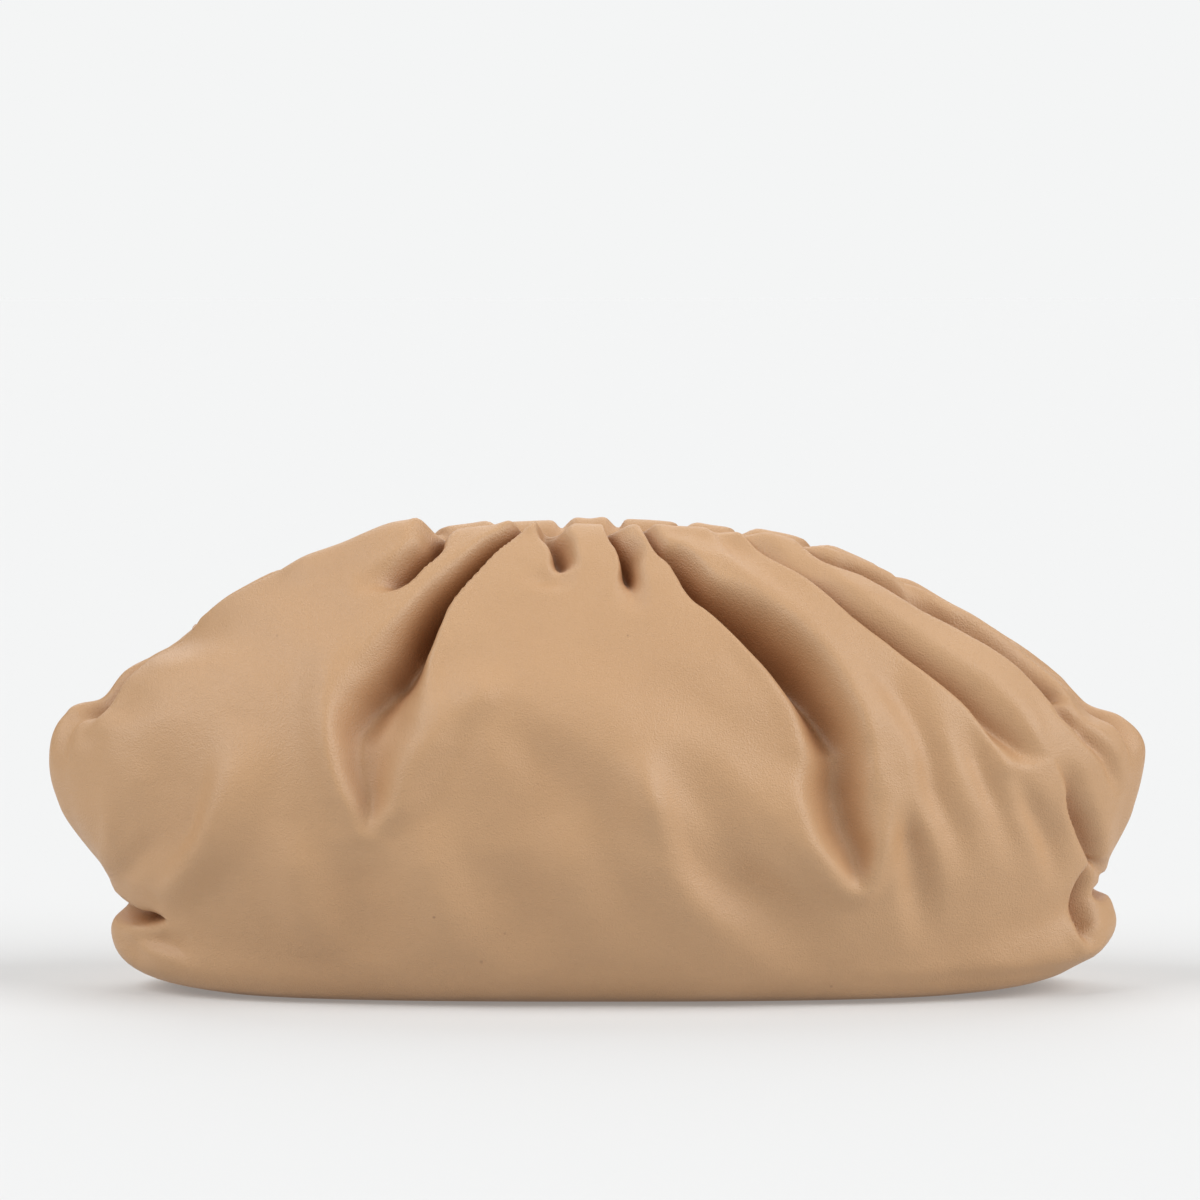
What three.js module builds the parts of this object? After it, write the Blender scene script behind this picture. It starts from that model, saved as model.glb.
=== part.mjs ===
// A soft pouch bag: a wide, rounded clutch of thin leather, gathered in uneven pleats onto
// a frame that closes its mouth. The frame is two arched jaws, covered in the same leather,
// that meet at a barrel hinge at each end. The jaws are shut.
// Millimetres, +Z up. The front faces -Y, and the origin is the middle of the flat base.
import * as THREE from "three";

// Sizes of the filled bag
const BAG_WIDTH = 382; // across the two tips
const BAG_HEIGHT = 165; // base to the crown of the gathers
const FRONT_DEPTH = 77; // mid plane to the fullest part of the front
const BACK_DEPTH = 73;
const BELLY_HEIGHT = 70; // height of the fullest part, in the middle of the bag
const TIP_HEIGHT = 83; // height of the widest part, at the two ends
const BASE_LENGTH = 272; // the flat area that it rests on
const BASE_DEPTH = 84;
const LEATHER = 1.8; // thickness of the wall

// Sizes of the frame
const FRAME_LENGTH = 264; // over both hinges
const FRAME_ARCH = 42; // crown of the jaws above their ends
const ARCH_POWER = 2.8; // 2 is a parabola, and more is flatter in the middle
const JAW_THICKNESS = 5;
const JAW_HEIGHT = 9;
const JAW_BEVEL = 1; // rounding of the jaws' long edges
const JAW_GAP = 0.6; // between the shut jaws
const HINGE_LENGTH = 9;
const HINGE_RADIUS = 4;
const SEAT_GAP = 0.3; // between pieces that touch on a real bag

// Sizes of the gathers and folds
const CREST_RISE = 8; // the gathers' crown above the jaws
const CREST_ROLL = 10; // how far the gathers roll outwards from the mouth
const LEFT_RISE = 9; // the gathers' left end above their right end
const FOLD_DEPTH = 12; // the depth that the fold table's depths are shares of
const FOLD_WIDTH = 12; // the width that the fold table's widths are shares of
const FADE = 12; // a front or back fold fades out over this much depth at the mid plane
const NARROWEST_BANK = 7; // what the mesh can show
const VIEW_TILT = THREE.MathUtils.degToRad(6); // heights in the fold table are seen from here

// Fineness of the mesh
const COLUMNS = 116; // round the bag
const FOLD_STEPS = 24; // straight steps in a fold's path
const JAW_STEPS = 20;
const HINGE_SIDES = 12;
const STEP = 0.02; // for slopes, in radians round the bag and in sections down it

// Sections between the crest of the gathers and the belly. length, depth, drop, leftDrop and
// rightDrop are shares of the way from the crest to the belly: of the half length, the half
// depth, the height in the middle and the heights at the two ends. square shapes the plan,
// where 2 is an ellipse. bow is how late the height changes towards the ends. fan is how much
// the mesh's columns bunch in the middle, as the gathers do. give is the share of a fold's
// depth that shows. rows counts the mesh's rows down to the next section.
const UPPER_SECTIONS = [
  { name: "brow", length: 0.2, depth: 0.2, drop: 0.08, leftDrop: 0.24, rightDrop: 0.17,
    square: 3.2, bow: 2.8, fan: 0.5, give: 0.8, rows: 2 },
  { name: "shoulder", length: 0.6, depth: 0.55, drop: 0.3, leftDrop: 0.52, rightDrop: 0.49,
    square: 2.5, bow: 2.6, fan: 0.3, give: 1, rows: 3 },
  { name: "chest", length: 0.91, depth: 0.87, drop: 0.64, leftDrop: 0.77, rightDrop: 0.8,
    square: 2.2, bow: 2.4, fan: 0.1, give: 1, rows: 2 },
];

// Sections between the belly and the base, as shares of the way from the belly to the base.
// left and right are the shares of the two half lengths.
const LOWER_SECTIONS = [
  { name: "hip", left: 0.05, right: 0.06, depth: 0.03, drop: 0.36, leftDrop: 0.24, rightDrop: 0.24,
    square: 2.1, bow: 2.4, fan: 0, give: 1, rows: 2 },
  { name: "waist", left: 0.33, right: 0.2, depth: 0.18, drop: 0.66, leftDrop: 0.5, rightDrop: 0.47,
    square: 2.2, bow: 3, fan: 0, give: 1, rows: 1 },
  { name: "pinch", left: 0.44, right: 0.27, depth: 0.33, drop: 0.8, leftDrop: 0.64, rightDrop: 0.575,
    square: 2.3, bow: 4, fan: 0, give: 1, rows: 1 },
  { name: "ear", left: 0.35, right: 0.13, depth: 0.5, drop: 0.91, leftDrop: 0.76, rightDrop: 0.7,
    square: 2.4, bow: 5, fan: 0, give: 0.8, rows: 2 },
  { name: "heel", left: 0.5, right: 0.34, depth: 0.75, drop: 0.97, leftDrop: 0.92, rightDrop: 0.9,
    square: 2.5, bow: 6, fan: 0, give: 0.3, rows: 2 },
];

// Folds. Each stop is a point down the fold: [across, up, depth, left, right]. across and up
// are shares of the half width (of the front depth on an end) and of the height. depth is
// how far the valley sinks, as a share of FOLD_DEPTH, and a negative depth is a ridge. left
// and right are the distances to the tops of its two banks, as shares of FOLD_WIDTH, seen
// from outside with the stops running down. soft goes from a sharp crease, 0, to a round
// valley, 1. lift is the rise of the banks, as a share of FOLD_DEPTH. A pleat starts in the
// mouth, above its first stop.
const FOLDS = [
  { name: "left_tuck", face: "front", pleat: true, soft: 0.2, lift: 0.1, stops: [
    [-0.29, 0.98, 0.58, 0.42, 0.42], [-0.3, 0.93, 0.67, 0.58, 0.5], [-0.35, 0.88, 0.58, 0.75, 0.58],
    [-0.42, 0.83, 0, 0.75, 0.5],
  ] },
  { name: "left_roll", face: "front", pleat: true, soft: 1, lift: 0, stops: [
    [-0.35, 1, -1, 1.25, 0.75], [-0.37, 0.95, -0.75, 1.42, 0.83], [-0.44, 0.86, -0.33, 1.5, 1],
    [-0.5, 0.79, 0, 1.5, 1],
  ] },
  { name: "left_drape", face: "front", pleat: true, soft: 0.5, lift: 0.18, stops: [
    [-0.13, 0.99, 0.25, 0.42, 0.42], [-0.15, 0.94, 0.5, 0.5, 0.5], [-0.23, 0.84, 0.92, 0.75, 0.75],
    [-0.31, 0.76, 1, 1.08, 1.25], [-0.37, 0.66, 0.83, 1.5, 2.08], [-0.4, 0.54, 0.58, 1.42, 1.92],
    [-0.41, 0.44, 0.38, 1, 1.08], [-0.41, 0.34, 0, 0.5, 0.5],
  ] },
  { name: "centre_nick", face: "front", pleat: true, soft: 0.3, lift: 0.08, stops: [
    [-0.06, 0.98, 0.42, 0.42, 0.42], [-0.05, 0.91, 0.67, 0.5, 0.5], [-0.06, 0.86, 0.5, 0.67, 0.58],
    [-0.08, 0.82, 0, 0.58, 0.5],
  ] },
  { name: "centre_slit", face: "front", pleat: true, soft: 0.3, lift: 0.08, stops: [
    [0.02, 0.99, 0.42, 0.42, 0.42], [0.05, 0.94, 0.67, 0.5, 0.5], [0.06, 0.89, 0.67, 0.58, 0.58],
    [0.07, 0.79, 0, 0.58, 0.58],
  ] },
  { name: "right_drape", face: "front", pleat: true, soft: 0.4, lift: 0.15, stops: [
    [0.08, 0.98, 0.42, 0.42, 0.5], [0.14, 0.91, 0.67, 0.5, 0.75], [0.25, 0.81, 0.92, 0.58, 1.25],
    [0.34, 0.72, 0.92, 0.58, 1.5], [0.39, 0.62, 0.83, 0.67, 1.42], [0.41, 0.53, 0.67, 0.83, 1.25],
    [0.42, 0.44, 0.5, 1.17, 1.17], [0.43, 0.34, 0.33, 1, 1], [0.47, 0.24, 0, 0.5, 0.58],
  ] },
  { name: "right_pleat", face: "front", pleat: true, soft: 0.6, lift: 0.07, stops: [
    [0.21, 0.98, 0.33, 0.42, 0.5], [0.26, 0.93, 0.33, 0.5, 0.67], [0.32, 0.85, 0.25, 0.67, 0.75],
    [0.37, 0.76, 0, 0.75, 0.75],
  ] },
  { name: "right_line", face: "front", pleat: true, soft: 0.4, lift: 0.12, stops: [
    [0.33, 0.97, 0.33, 0.42, 0.5], [0.44, 0.84, 0.42, 0.58, 0.83], [0.54, 0.75, 0.54, 0.58, 1.08],
    [0.63, 0.67, 0.58, 0.75, 1.08], [0.74, 0.58, 0.5, 0.83, 0.83], [0.79, 0.53, 0.29, 0.83, 0.67],
    [0.81, 0.47, 0, 0.58, 0.5],
  ] },
  { name: "right_roll", face: "front", pleat: true, soft: 0.4, lift: 0.12, stops: [
    [0.39, 0.95, 0.25, 0.42, 0.5], [0.52, 0.87, 0.38, 0.5, 0.67], [0.62, 0.81, 0.42, 0.5, 0.75],
    [0.74, 0.72, 0.42, 0.58, 0.75], [0.81, 0.64, 0.33, 0.67, 0.67], [0.86, 0.58, 0.17, 0.75, 0.58],
    [0.87, 0.51, 0, 0.75, 0.58],
  ] },
  { name: "right_tuck", face: "front", pleat: true, soft: 0.3, lift: 0.08, stops: [
    [0.61, 0.84, 0.33, 0.42, 0.42], [0.71, 0.76, 0.5, 0.5, 0.5], [0.8, 0.69, 0.58, 0.58, 0.58],
    [0.86, 0.65, 0.33, 0.58, 0.58], [0.9, 0.62, 0, 0.5, 0.5],
  ] },
  { name: "right_ripple", face: "front", pleat: false, soft: 1, lift: 0.05, stops: [
    [0.53, 0.7, 0, 0.75, 0.75], [0.57, 0.59, 0.21, 0.83, 0.83], [0.61, 0.48, 0.21, 0.92, 0.92],
    [0.64, 0.42, 0.17, 0.92, 0.92], [0.67, 0.33, 0, 0.83, 0.83],
  ] },
  { name: "right_dimple", face: "front", pleat: false, soft: 1, lift: 0.04, stops: [
    [0.57, 0.38, 0, 0.83, 0.83], [0.58, 0.31, 0.18, 1, 1], [0.59, 0.23, 0.17, 1, 1],
    [0.61, 0.11, 0, 0.83, 0.83],
  ] },
  { name: "right_flank", face: "front", pleat: false, soft: 0.8, lift: 0.1, stops: [
    [0.86, 0.49, 0, 0.58, 0.58], [0.88, 0.42, 0.29, 0.75, 0.75], [0.9, 0.35, 0.25, 0.75, 0.75],
    [0.91, 0.29, 0, 0.58, 0.58],
  ] },
  { name: "belly_dent", face: "front", pleat: false, soft: 1, lift: 0.03, stops: [
    [-0.17, 0.71, 0, 0.5, 0.83], [-0.14, 0.63, 0.28, 0.83, 1.67], [-0.12, 0.55, 0.27, 1, 1.83],
    [-0.1, 0.41, 0, 1.33, 1.83],
  ] },
  { name: "left_ridge", face: "front", pleat: false, soft: 1, lift: 0, stops: [
    [-0.8, 0.21, 0, 1, 1], [-0.75, 0.27, -0.21, 1.17, 1.33], [-0.71, 0.32, -0.28, 1.25, 1.5],
    [-0.69, 0.39, -0.28, 1.33, 1.67], [-0.67, 0.47, -0.21, 1.5, 1.83], [-0.64, 0.59, 0, 1.5, 1.83],
  ] },
  { name: "left_sweep", face: "front", pleat: false, soft: 1, lift: 0.05, stops: [
    [-0.88, 0.24, 0, 0.58, 0.58], [-0.86, 0.27, 0.17, 0.75, 0.75], [-0.82, 0.32, 0, 0.75, 0.75],
  ] },
  { name: "left_pinch", face: "left", pleat: false, soft: 0.2, lift: 0.12, stops: [
    [-0.5, 0.17, 0, 0.42, 0.42], [-0.4, 0.17, 0.58, 0.5, 0.5], [-0.2, 0.18, 0.38, 0.5, 0.5],
    [0.05, 0.18, 0.12, 0.5, 0.5], [0.3, 0.17, 0.42, 0.5, 0.5], [0.45, 0.17, 0, 0.42, 0.42],
  ] },
  { name: "right_pinch", face: "right", pleat: false, soft: 0.3, lift: 0.12, stops: [
    [-0.52, 0.21, 0, 0.42, 0.42], [-0.36, 0.21, 0.58, 0.67, 0.5], [-0.16, 0.21, 0.42, 0.67, 0.58],
    [0.08, 0.21, 0.12, 0.58, 0.5], [0.3, 0.2, 0.42, 0.58, 0.5], [0.48, 0.19, 0, 0.42, 0.42],
  ] },
  { name: "left_bellows", face: "left", pleat: false, soft: 0.6, lift: 0.15, stops: [
    [0.03, 0.72, 0.17, 0.75, 0.75], [0.06, 0.58, 0.58, 1.08, 1.08], [0.05, 0.42, 0.42, 1.08, 1.08],
    [0, 0.26, 0, 0.67, 0.67],
  ] },
  { name: "right_bellows", face: "right", pleat: false, soft: 0.6, lift: 0.15, stops: [
    [0.06, 0.7, 0.17, 0.75, 0.75], [0.1, 0.56, 0.5, 1.08, 1.08], [0.06, 0.4, 0.42, 1, 1],
    [0.02, 0.28, 0, 0.67, 0.67],
  ] },
  { name: "left_gusset", face: "left", pleat: false, soft: 0.5, lift: 0.1, stops: [
    [-0.12, 0.7, 0.08, 0.67, 0.67], [-0.22, 0.62, 0.33, 0.75, 0.75], [-0.34, 0.52, 0, 0.75, 0.75],
  ] },
  { name: "back_nick_1", face: "back", pleat: true, soft: 0.3, lift: 0.08, stops: [
    [0.04, 0.98, 0.42, 0.42, 0.42], [0.03, 0.92, 0.67, 0.5, 0.5], [0.04, 0.86, 0.5, 0.58, 0.58],
    [0.06, 0.8, 0, 0.58, 0.58],
  ] },
  { name: "back_nick_2", face: "back", pleat: true, soft: 0.3, lift: 0.08, stops: [
    [-0.08, 0.98, 0.42, 0.42, 0.42], [-0.09, 0.91, 0.67, 0.5, 0.5], [-0.11, 0.85, 0.5, 0.58, 0.67],
    [-0.13, 0.78, 0, 0.58, 0.67],
  ] },
  { name: "back_drape_1", face: "back", pleat: true, soft: 0.5, lift: 0.17, stops: [
    [0.17, 0.98, 0.33, 0.42, 0.42], [0.23, 0.88, 0.75, 0.67, 0.58], [0.31, 0.76, 0.92, 1.25, 0.83],
    [0.36, 0.62, 0.75, 1.67, 1.17], [0.39, 0.48, 0.5, 1.33, 1.17], [0.4, 0.34, 0, 0.67, 0.67],
  ] },
  { name: "back_tuck_1", face: "back", pleat: true, soft: 0.3, lift: 0.1, stops: [
    [0.3, 0.96, 0.5, 0.42, 0.42], [0.36, 0.89, 0.67, 0.5, 0.5], [0.43, 0.82, 0.42, 0.67, 0.58],
    [0.49, 0.76, 0, 0.67, 0.58],
  ] },
  { name: "back_roll_1", face: "back", pleat: true, soft: 0.5, lift: 0.12, stops: [
    [0.43, 0.93, 0.33, 0.42, 0.5], [0.56, 0.81, 0.5, 0.58, 0.75], [0.66, 0.69, 0.58, 0.67, 0.92],
    [0.73, 0.57, 0.42, 0.75, 0.92], [0.78, 0.44, 0, 0.67, 0.67],
  ] },
  { name: "back_tuck_2", face: "back", pleat: true, soft: 0.3, lift: 0.08, stops: [
    [0.6, 0.85, 0.33, 0.42, 0.42], [0.7, 0.77, 0.5, 0.5, 0.5], [0.8, 0.68, 0.42, 0.58, 0.58],
    [0.87, 0.6, 0, 0.58, 0.58],
  ] },
  { name: "back_drape_2", face: "back", pleat: true, soft: 0.4, lift: 0.15, stops: [
    [-0.19, 0.98, 0.33, 0.42, 0.42], [-0.25, 0.89, 0.67, 0.58, 0.67], [-0.34, 0.76, 0.92, 0.75, 1.17],
    [-0.4, 0.62, 0.75, 0.92, 1.5], [-0.43, 0.46, 0.5, 1.08, 1.25], [-0.45, 0.3, 0, 0.67, 0.67],
  ] },
  { name: "back_tuck_3", face: "back", pleat: true, soft: 0.3, lift: 0.08, stops: [
    [-0.33, 0.96, 0.42, 0.42, 0.42], [-0.41, 0.88, 0.58, 0.5, 0.5], [-0.5, 0.8, 0.33, 0.67, 0.67],
    [-0.56, 0.73, 0, 0.67, 0.67],
  ] },
  { name: "back_roll_2", face: "back", pleat: true, soft: 0.5, lift: 0.12, stops: [
    [-0.46, 0.92, 0.33, 0.42, 0.42], [-0.58, 0.8, 0.5, 0.67, 0.58], [-0.67, 0.68, 0.5, 0.92, 0.67],
    [-0.72, 0.56, 0.33, 1, 0.75], [-0.74, 0.46, 0, 0.75, 0.67],
  ] },
  { name: "back_tuck_4", face: "back", pleat: true, soft: 0.3, lift: 0.08, stops: [
    [-0.62, 0.84, 0.33, 0.42, 0.42], [-0.73, 0.75, 0.5, 0.5, 0.5], [-0.82, 0.66, 0.42, 0.58, 0.58],
    [-0.88, 0.58, 0, 0.58, 0.58],
  ] },
  { name: "back_dent", face: "back", pleat: false, soft: 1, lift: 0.03, stops: [
    [0.1, 0.66, 0, 1, 0.67], [0.06, 0.54, 0.29, 1.67, 1], [0, 0.42, 0.25, 1.83, 1.17],
    [-0.08, 0.3, 0, 1.67, 1.17],
  ] },
  { name: "back_ridge", face: "back", pleat: false, soft: 1, lift: 0, stops: [
    [0.62, 0.14, 0, 1, 1], [0.68, 0.26, -0.25, 1.33, 1.17], [0.66, 0.42, -0.25, 1.67, 1.33],
    [0.62, 0.56, 0, 1.5, 1.33],
  ] },
];

const LEATHER_LOOK = new THREE.MeshStandardMaterial({ color: 0xcda57f, roughness: 0.5, metalness: 0 });
const FRAME_LOOK = new THREE.MeshStandardMaterial({ color: 0xc0946c, roughness: 0.55, metalness: 0 });

const frameHalf = FRAME_LENGTH / 2;
const frameCrown = BAG_HEIGHT - CREST_RISE;
const slotHalf = JAW_GAP / 2 + JAW_THICKNESS + SEAT_GAP;

function mix(from, to, share) {
  return from + (to - from) * share;
}

function smooth(value) {
  const x = THREE.MathUtils.clamp(value, 0, 1);
  return x * x * (3 - 2 * x);
}

// Height of the jaws' top edge
function frameTop(x) {
  return frameCrown - FRAME_ARCH * Math.abs(x / frameHalf) ** ARCH_POWER;
}

// The leather's edge, which stands against the jaws' outer faces
function mouthSection(name, share) {
  const middle = frameCrown - JAW_HEIGHT * (1 - share);
  return {
    name,
    rows: 2,
    left: frameHalf + SEAT_GAP,
    right: frameHalf + SEAT_GAP,
    front: slotHalf,
    back: slotHalf,
    middle,
    leftEnd: middle - FRAME_ARCH,
    rightEnd: middle - FRAME_ARCH,
    bow: ARCH_POWER,
    square: 40,
    fan: 0.6,
    give: 0,
  };
}

// The section that a row of a table describes, between two known ones
function between(from, to, row) {
  return {
    name: row.name,
    rows: row.rows,
    left: mix(from.left, to.left, row.left ?? row.length),
    right: mix(from.right, to.right, row.right ?? row.length),
    front: mix(from.front, to.front, row.depth),
    back: mix(from.back, to.back, row.depth),
    middle: mix(from.middle, to.middle, row.drop),
    leftEnd: mix(from.leftEnd, to.leftEnd, row.leftDrop),
    rightEnd: mix(from.rightEnd, to.rightEnd, row.rightDrop),
    bow: row.bow,
    square: row.square,
    fan: row.fan,
    give: row.give,
  };
}

// Every section, from the edge in the mouth to the base
function allSections() {
  const crest = {
    name: "crest",
    rows: 2,
    left: frameHalf + CREST_ROLL,
    right: frameHalf + CREST_ROLL,
    front: slotHalf + CREST_ROLL,
    back: slotHalf + CREST_ROLL,
    middle: BAG_HEIGHT,
    leftEnd: BAG_HEIGHT - FRAME_ARCH + LEFT_RISE,
    rightEnd: BAG_HEIGHT - FRAME_ARCH,
    bow: ARCH_POWER,
    square: 6,
    fan: 0.6,
    give: 0.6,
  };
  const belly = {
    name: "belly",
    rows: 2,
    left: BAG_WIDTH / 2,
    right: BAG_WIDTH / 2,
    front: FRONT_DEPTH,
    back: BACK_DEPTH,
    middle: BELLY_HEIGHT,
    leftEnd: TIP_HEIGHT,
    rightEnd: TIP_HEIGHT,
    bow: 2.4,
    square: 2.1,
    fan: 0,
    give: 1,
  };
  const base = {
    name: "base",
    rows: 0,
    left: BASE_LENGTH / 2,
    right: BASE_LENGTH / 2,
    front: BASE_DEPTH / 2,
    back: BASE_DEPTH / 2,
    middle: 0,
    leftEnd: 0,
    rightEnd: 0,
    bow: 2,
    square: 2.6,
    fan: 0,
    give: 0,
  };
  return [
    mouthSection("edge", 0),
    mouthSection("lip", 1),
    crest,
    ...UPPER_SECTIONS.map((row) => between(crest, belly, row)),
    belly,
    ...LOWER_SECTIONS.map((row) => between(belly, base, row)),
    base,
  ];
}

const sections = allSections();
const lastSection = sections.length - 1;
const crestIndex = sections.findIndex((section) => section.name === "crest");
const bellySection = sections.find((section) => section.name === "belly");

// A point on one section's outline. The angle runs from the right end, round the back, to
// the left end at pi and on round the front.
function outlinePoint(section, angle) {
  const turn = Math.cos(angle);
  const along = turn * (1 - section.fan * (1 - Math.abs(turn)));
  const depth = Math.sin(angle) < 0 ? -section.front : section.back;
  const end = along < 0 ? section.leftEnd : section.rightEnd;
  return new THREE.Vector3(
    along * (along < 0 ? section.left : section.right),
    depth * Math.max(0, 1 - Math.abs(along) ** section.square) ** (1 / section.square),
    mix(section.middle, end, Math.abs(along) ** section.bow),
  );
}

// The outlines at one angle as a B-spline's control points. A B-spline cuts its corners, so
// each point below the mouth is moved out, and the spline runs through the outlines. One
// more point at each end carries the last slope on.
function controlPoints(angle) {
  const through = sections.map((section) => outlinePoint(section, angle));
  const control = through.map((point, index) => {
    if (index < crestIndex || index === lastSection) return point;
    const beside = through[index - 1].clone().add(through[index + 1]);
    return point.clone().multiplyScalar(4 / 3).addScaledVector(beside, -1 / 6);
  });
  const before = control[0].clone().multiplyScalar(2).sub(control[1]);
  const after = control[lastSection].clone().multiplyScalar(2).sub(control[lastSection - 1]);
  return [before, ...control, after];
}

// A point of a cubic B-spline. down counts sections from the edge in the mouth.
function splinePoint(control, down) {
  const first = Math.min(Math.floor(down), lastSection - 1);
  const share = down - first;
  const rest = 1 - share;
  const weights = [
    rest ** 3 / 6,
    (3 * share ** 3 - 6 * share ** 2 + 4) / 6,
    (3 * rest ** 3 - 6 * rest ** 2 + 4) / 6,
    share ** 3 / 6,
  ];
  const point = new THREE.Vector3();
  weights.forEach((weight, k) => point.addScaledVector(control[first + k], weight));
  return point;
}

// A point of the smooth bag, without its folds
function smoothPoint(angle, down) {
  return splinePoint(controlPoints(angle), THREE.MathUtils.clamp(down, 0, lastSection));
}

function smoothNormal(angle, down) {
  const round = smoothPoint(angle + STEP, down).sub(smoothPoint(angle - STEP, down));
  const below = smoothPoint(angle, down + STEP).sub(smoothPoint(angle, down - STEP));
  return below.cross(round).normalize();
}

// How much of a fold's depth shows at a place
function giveAt(down) {
  const first = Math.min(Math.floor(down), lastSection - 1);
  return mix(sections[first].give, sections[first + 1].give, down - first);
}

// Angles that space the columns evenly round the belly
function columnAngles(count) {
  const samples = count * 8;
  const lengths = [0];
  for (let k = 1; k <= samples; k++) {
    const before = outlinePoint(bellySection, ((k - 1) / samples) * 2 * Math.PI);
    const here = outlinePoint(bellySection, (k / samples) * 2 * Math.PI);
    lengths.push(lengths[k - 1] + here.distanceTo(before));
  }
  const angles = [];
  for (let column = 0, k = 0; column < count; column++) {
    const want = (lengths[samples] * column) / count;
    while (lengths[k + 1] < want) k++;
    const share = (want - lengths[k]) / (lengths[k + 1] - lengths[k]);
    angles.push(((k + share) / samples) * 2 * Math.PI);
  }
  return angles;
}

// How far down each row lies, counted in sections
function rowPlaces() {
  const places = [0];
  sections.forEach((section, index) => {
    for (let row = 1; row <= section.rows; row++) places.push(index + row / section.rows);
  });
  return places;
}

// Height as it is seen from a little above the front or the back
function seenHeight(point) {
  return point.z * Math.cos(VIEW_TILT) + (BASE_DEPTH / 2 - Math.abs(point.y)) * Math.sin(VIEW_TILT);
}

// The four sides that folds are read off: how far across a point is, how high it is seen,
// and how far it lies inside the half of the bag that the side shows
const FACES = {
  front: { across: (p) => (p.x * 2) / BAG_WIDTH, up: seenHeight, inside: (p) => -p.y },
  back: { across: (p) => (p.x * 2) / BAG_WIDTH, up: seenHeight, inside: (p) => p.y },
  left: { across: (p) => p.y / FRONT_DEPTH, up: (p) => p.z, inside: (p) => -p.x },
  right: { across: (p) => p.y / FRONT_DEPTH, up: (p) => p.z, inside: (p) => p.x },
};

// A lattice of places on the outside, where folds are looked up
function placesOutside() {
  const places = [];
  for (const angle of columnAngles(COLUMNS * 2)) {
    const control = controlPoints(angle);
    for (let down = crestIndex; down <= lastSection; down += 0.1) {
      places.push({ angle, down, point: splinePoint(control, down) });
    }
  }
  return places;
}

// The place on the outside where a fold's stop lies
function findPlace(places, face, across, up) {
  const scale = face === FACES.front || face === FACES.back ? BAG_WIDTH / 2 : FRONT_DEPTH;
  let best = null;
  let nearest = Infinity;
  for (const place of places) {
    if (face.inside(place.point) <= 0) continue;
    const gap = Math.hypot(
      (face.across(place.point) - across) * scale,
      face.up(place.point) - up * BAG_HEIGHT,
    );
    if (gap < nearest) {
      nearest = gap;
      best = place;
    }
  }
  return best;
}

// The line of a fold on the smooth bag. Each point carries its fold's size there.
function foldLine(places, fold) {
  const stops = fold.stops.map(([across, up, depth, left, right]) => {
    const { angle, down } = findPlace(places, FACES[fold.face], across, up);
    const wrapped = fold.face === "right" && angle > Math.PI ? angle - 2 * Math.PI : angle;
    return { place: new THREE.Vector3(wrapped, down, 0), size: new THREE.Vector3(depth, left, right) };
  });
  if (fold.pleat) {
    const first = stops[0];
    stops.unshift({ place: new THREE.Vector3(first.place.x, 0, 0), size: first.size });
  }
  const curve = new THREE.CatmullRomCurve3(stops.map((stop) => stop.place), false, "catmullrom");
  const sizes = stops.map((stop) => stop.size);
  const line = [];
  for (let k = 0; k <= FOLD_STEPS; k++) {
    const share = k / FOLD_STEPS;
    const place = curve.getPoint(share);
    const first = Math.min(Math.floor(share * (sizes.length - 1)), sizes.length - 2);
    const size = sizes[first].clone().lerp(sizes[first + 1], share * (sizes.length - 1) - first);
    line.push({ point: smoothPoint(place.x, place.y), size });
  }
  return line;
}

// The place on a line nearest to a point
function nearestOnLine(line, point) {
  let best = { gap: Infinity };
  for (let k = 0; k + 1 < line.length; k++) {
    const step = line[k + 1].point.clone().sub(line[k].point);
    const offset = point.clone().sub(line[k].point);
    const share = THREE.MathUtils.clamp(offset.dot(step) / step.lengthSq(), 0, 1);
    offset.addScaledVector(step, -share);
    const gap = offset.length();
    if (gap < best.gap) best = { gap, offset, step, first: k, share };
  }
  best.size = line[best.first].size.clone().lerp(line[best.first + 1].size, best.share);
  return best;
}

// How far one fold moves a point of the smooth bag outwards
function foldShift(fold, point, normal) {
  const showing = smooth(0.5 + FACES[fold.face].inside(point) / FADE);
  if (showing === 0 || fold.bounds.distanceToPoint(point) > 0) return 0;
  const near = nearestOnLine(fold.line, point);
  const leftwards = near.step.clone().cross(normal).dot(near.offset) > 0;
  const bankWidth = FOLD_WIDTH * (leftwards ? near.size.y : near.size.z);
  const reach = near.gap / Math.max(bankWidth, NARROWEST_BANK);
  if (reach >= 2) return 0;
  const valley = Math.max(1 - reach, 0) ** 2 * (1 + 2 * fold.soft * reach);
  const bank = smooth(reach < 1 ? reach : 2 - reach) * Math.min(1, Math.abs(near.size.x) * 3);
  return FOLD_DEPTH * (fold.lift * bank - near.size.x * valley) * showing;
}

// The folds, each with its line and the box that it can reach
function layFolds() {
  const places = placesOutside();
  return FOLDS.map((fold) => {
    const line = foldLine(places, fold);
    const widest = Math.max(...fold.stops.map((stop) => Math.max(stop[3], stop[4])));
    const bounds = new THREE.Box3().setFromPoints(line.map(({ point }) => point));
    bounds.expandByScalar(2 * widest * FOLD_WIDTH);
    return { ...fold, line, bounds };
  });
}

// A point of the folded bag and the way out from the smooth one there
function foldedPoint(folds, angle, down) {
  const place = smoothPoint(angle, down);
  const normal = smoothNormal(angle, down);
  const shift = folds.reduce((sum, fold) => sum + foldShift(fold, place, normal), 0);
  place.addScaledVector(normal, shift * giveAt(down));
  place.z = Math.max(place.z, 0);
  return { place, normal };
}

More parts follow.
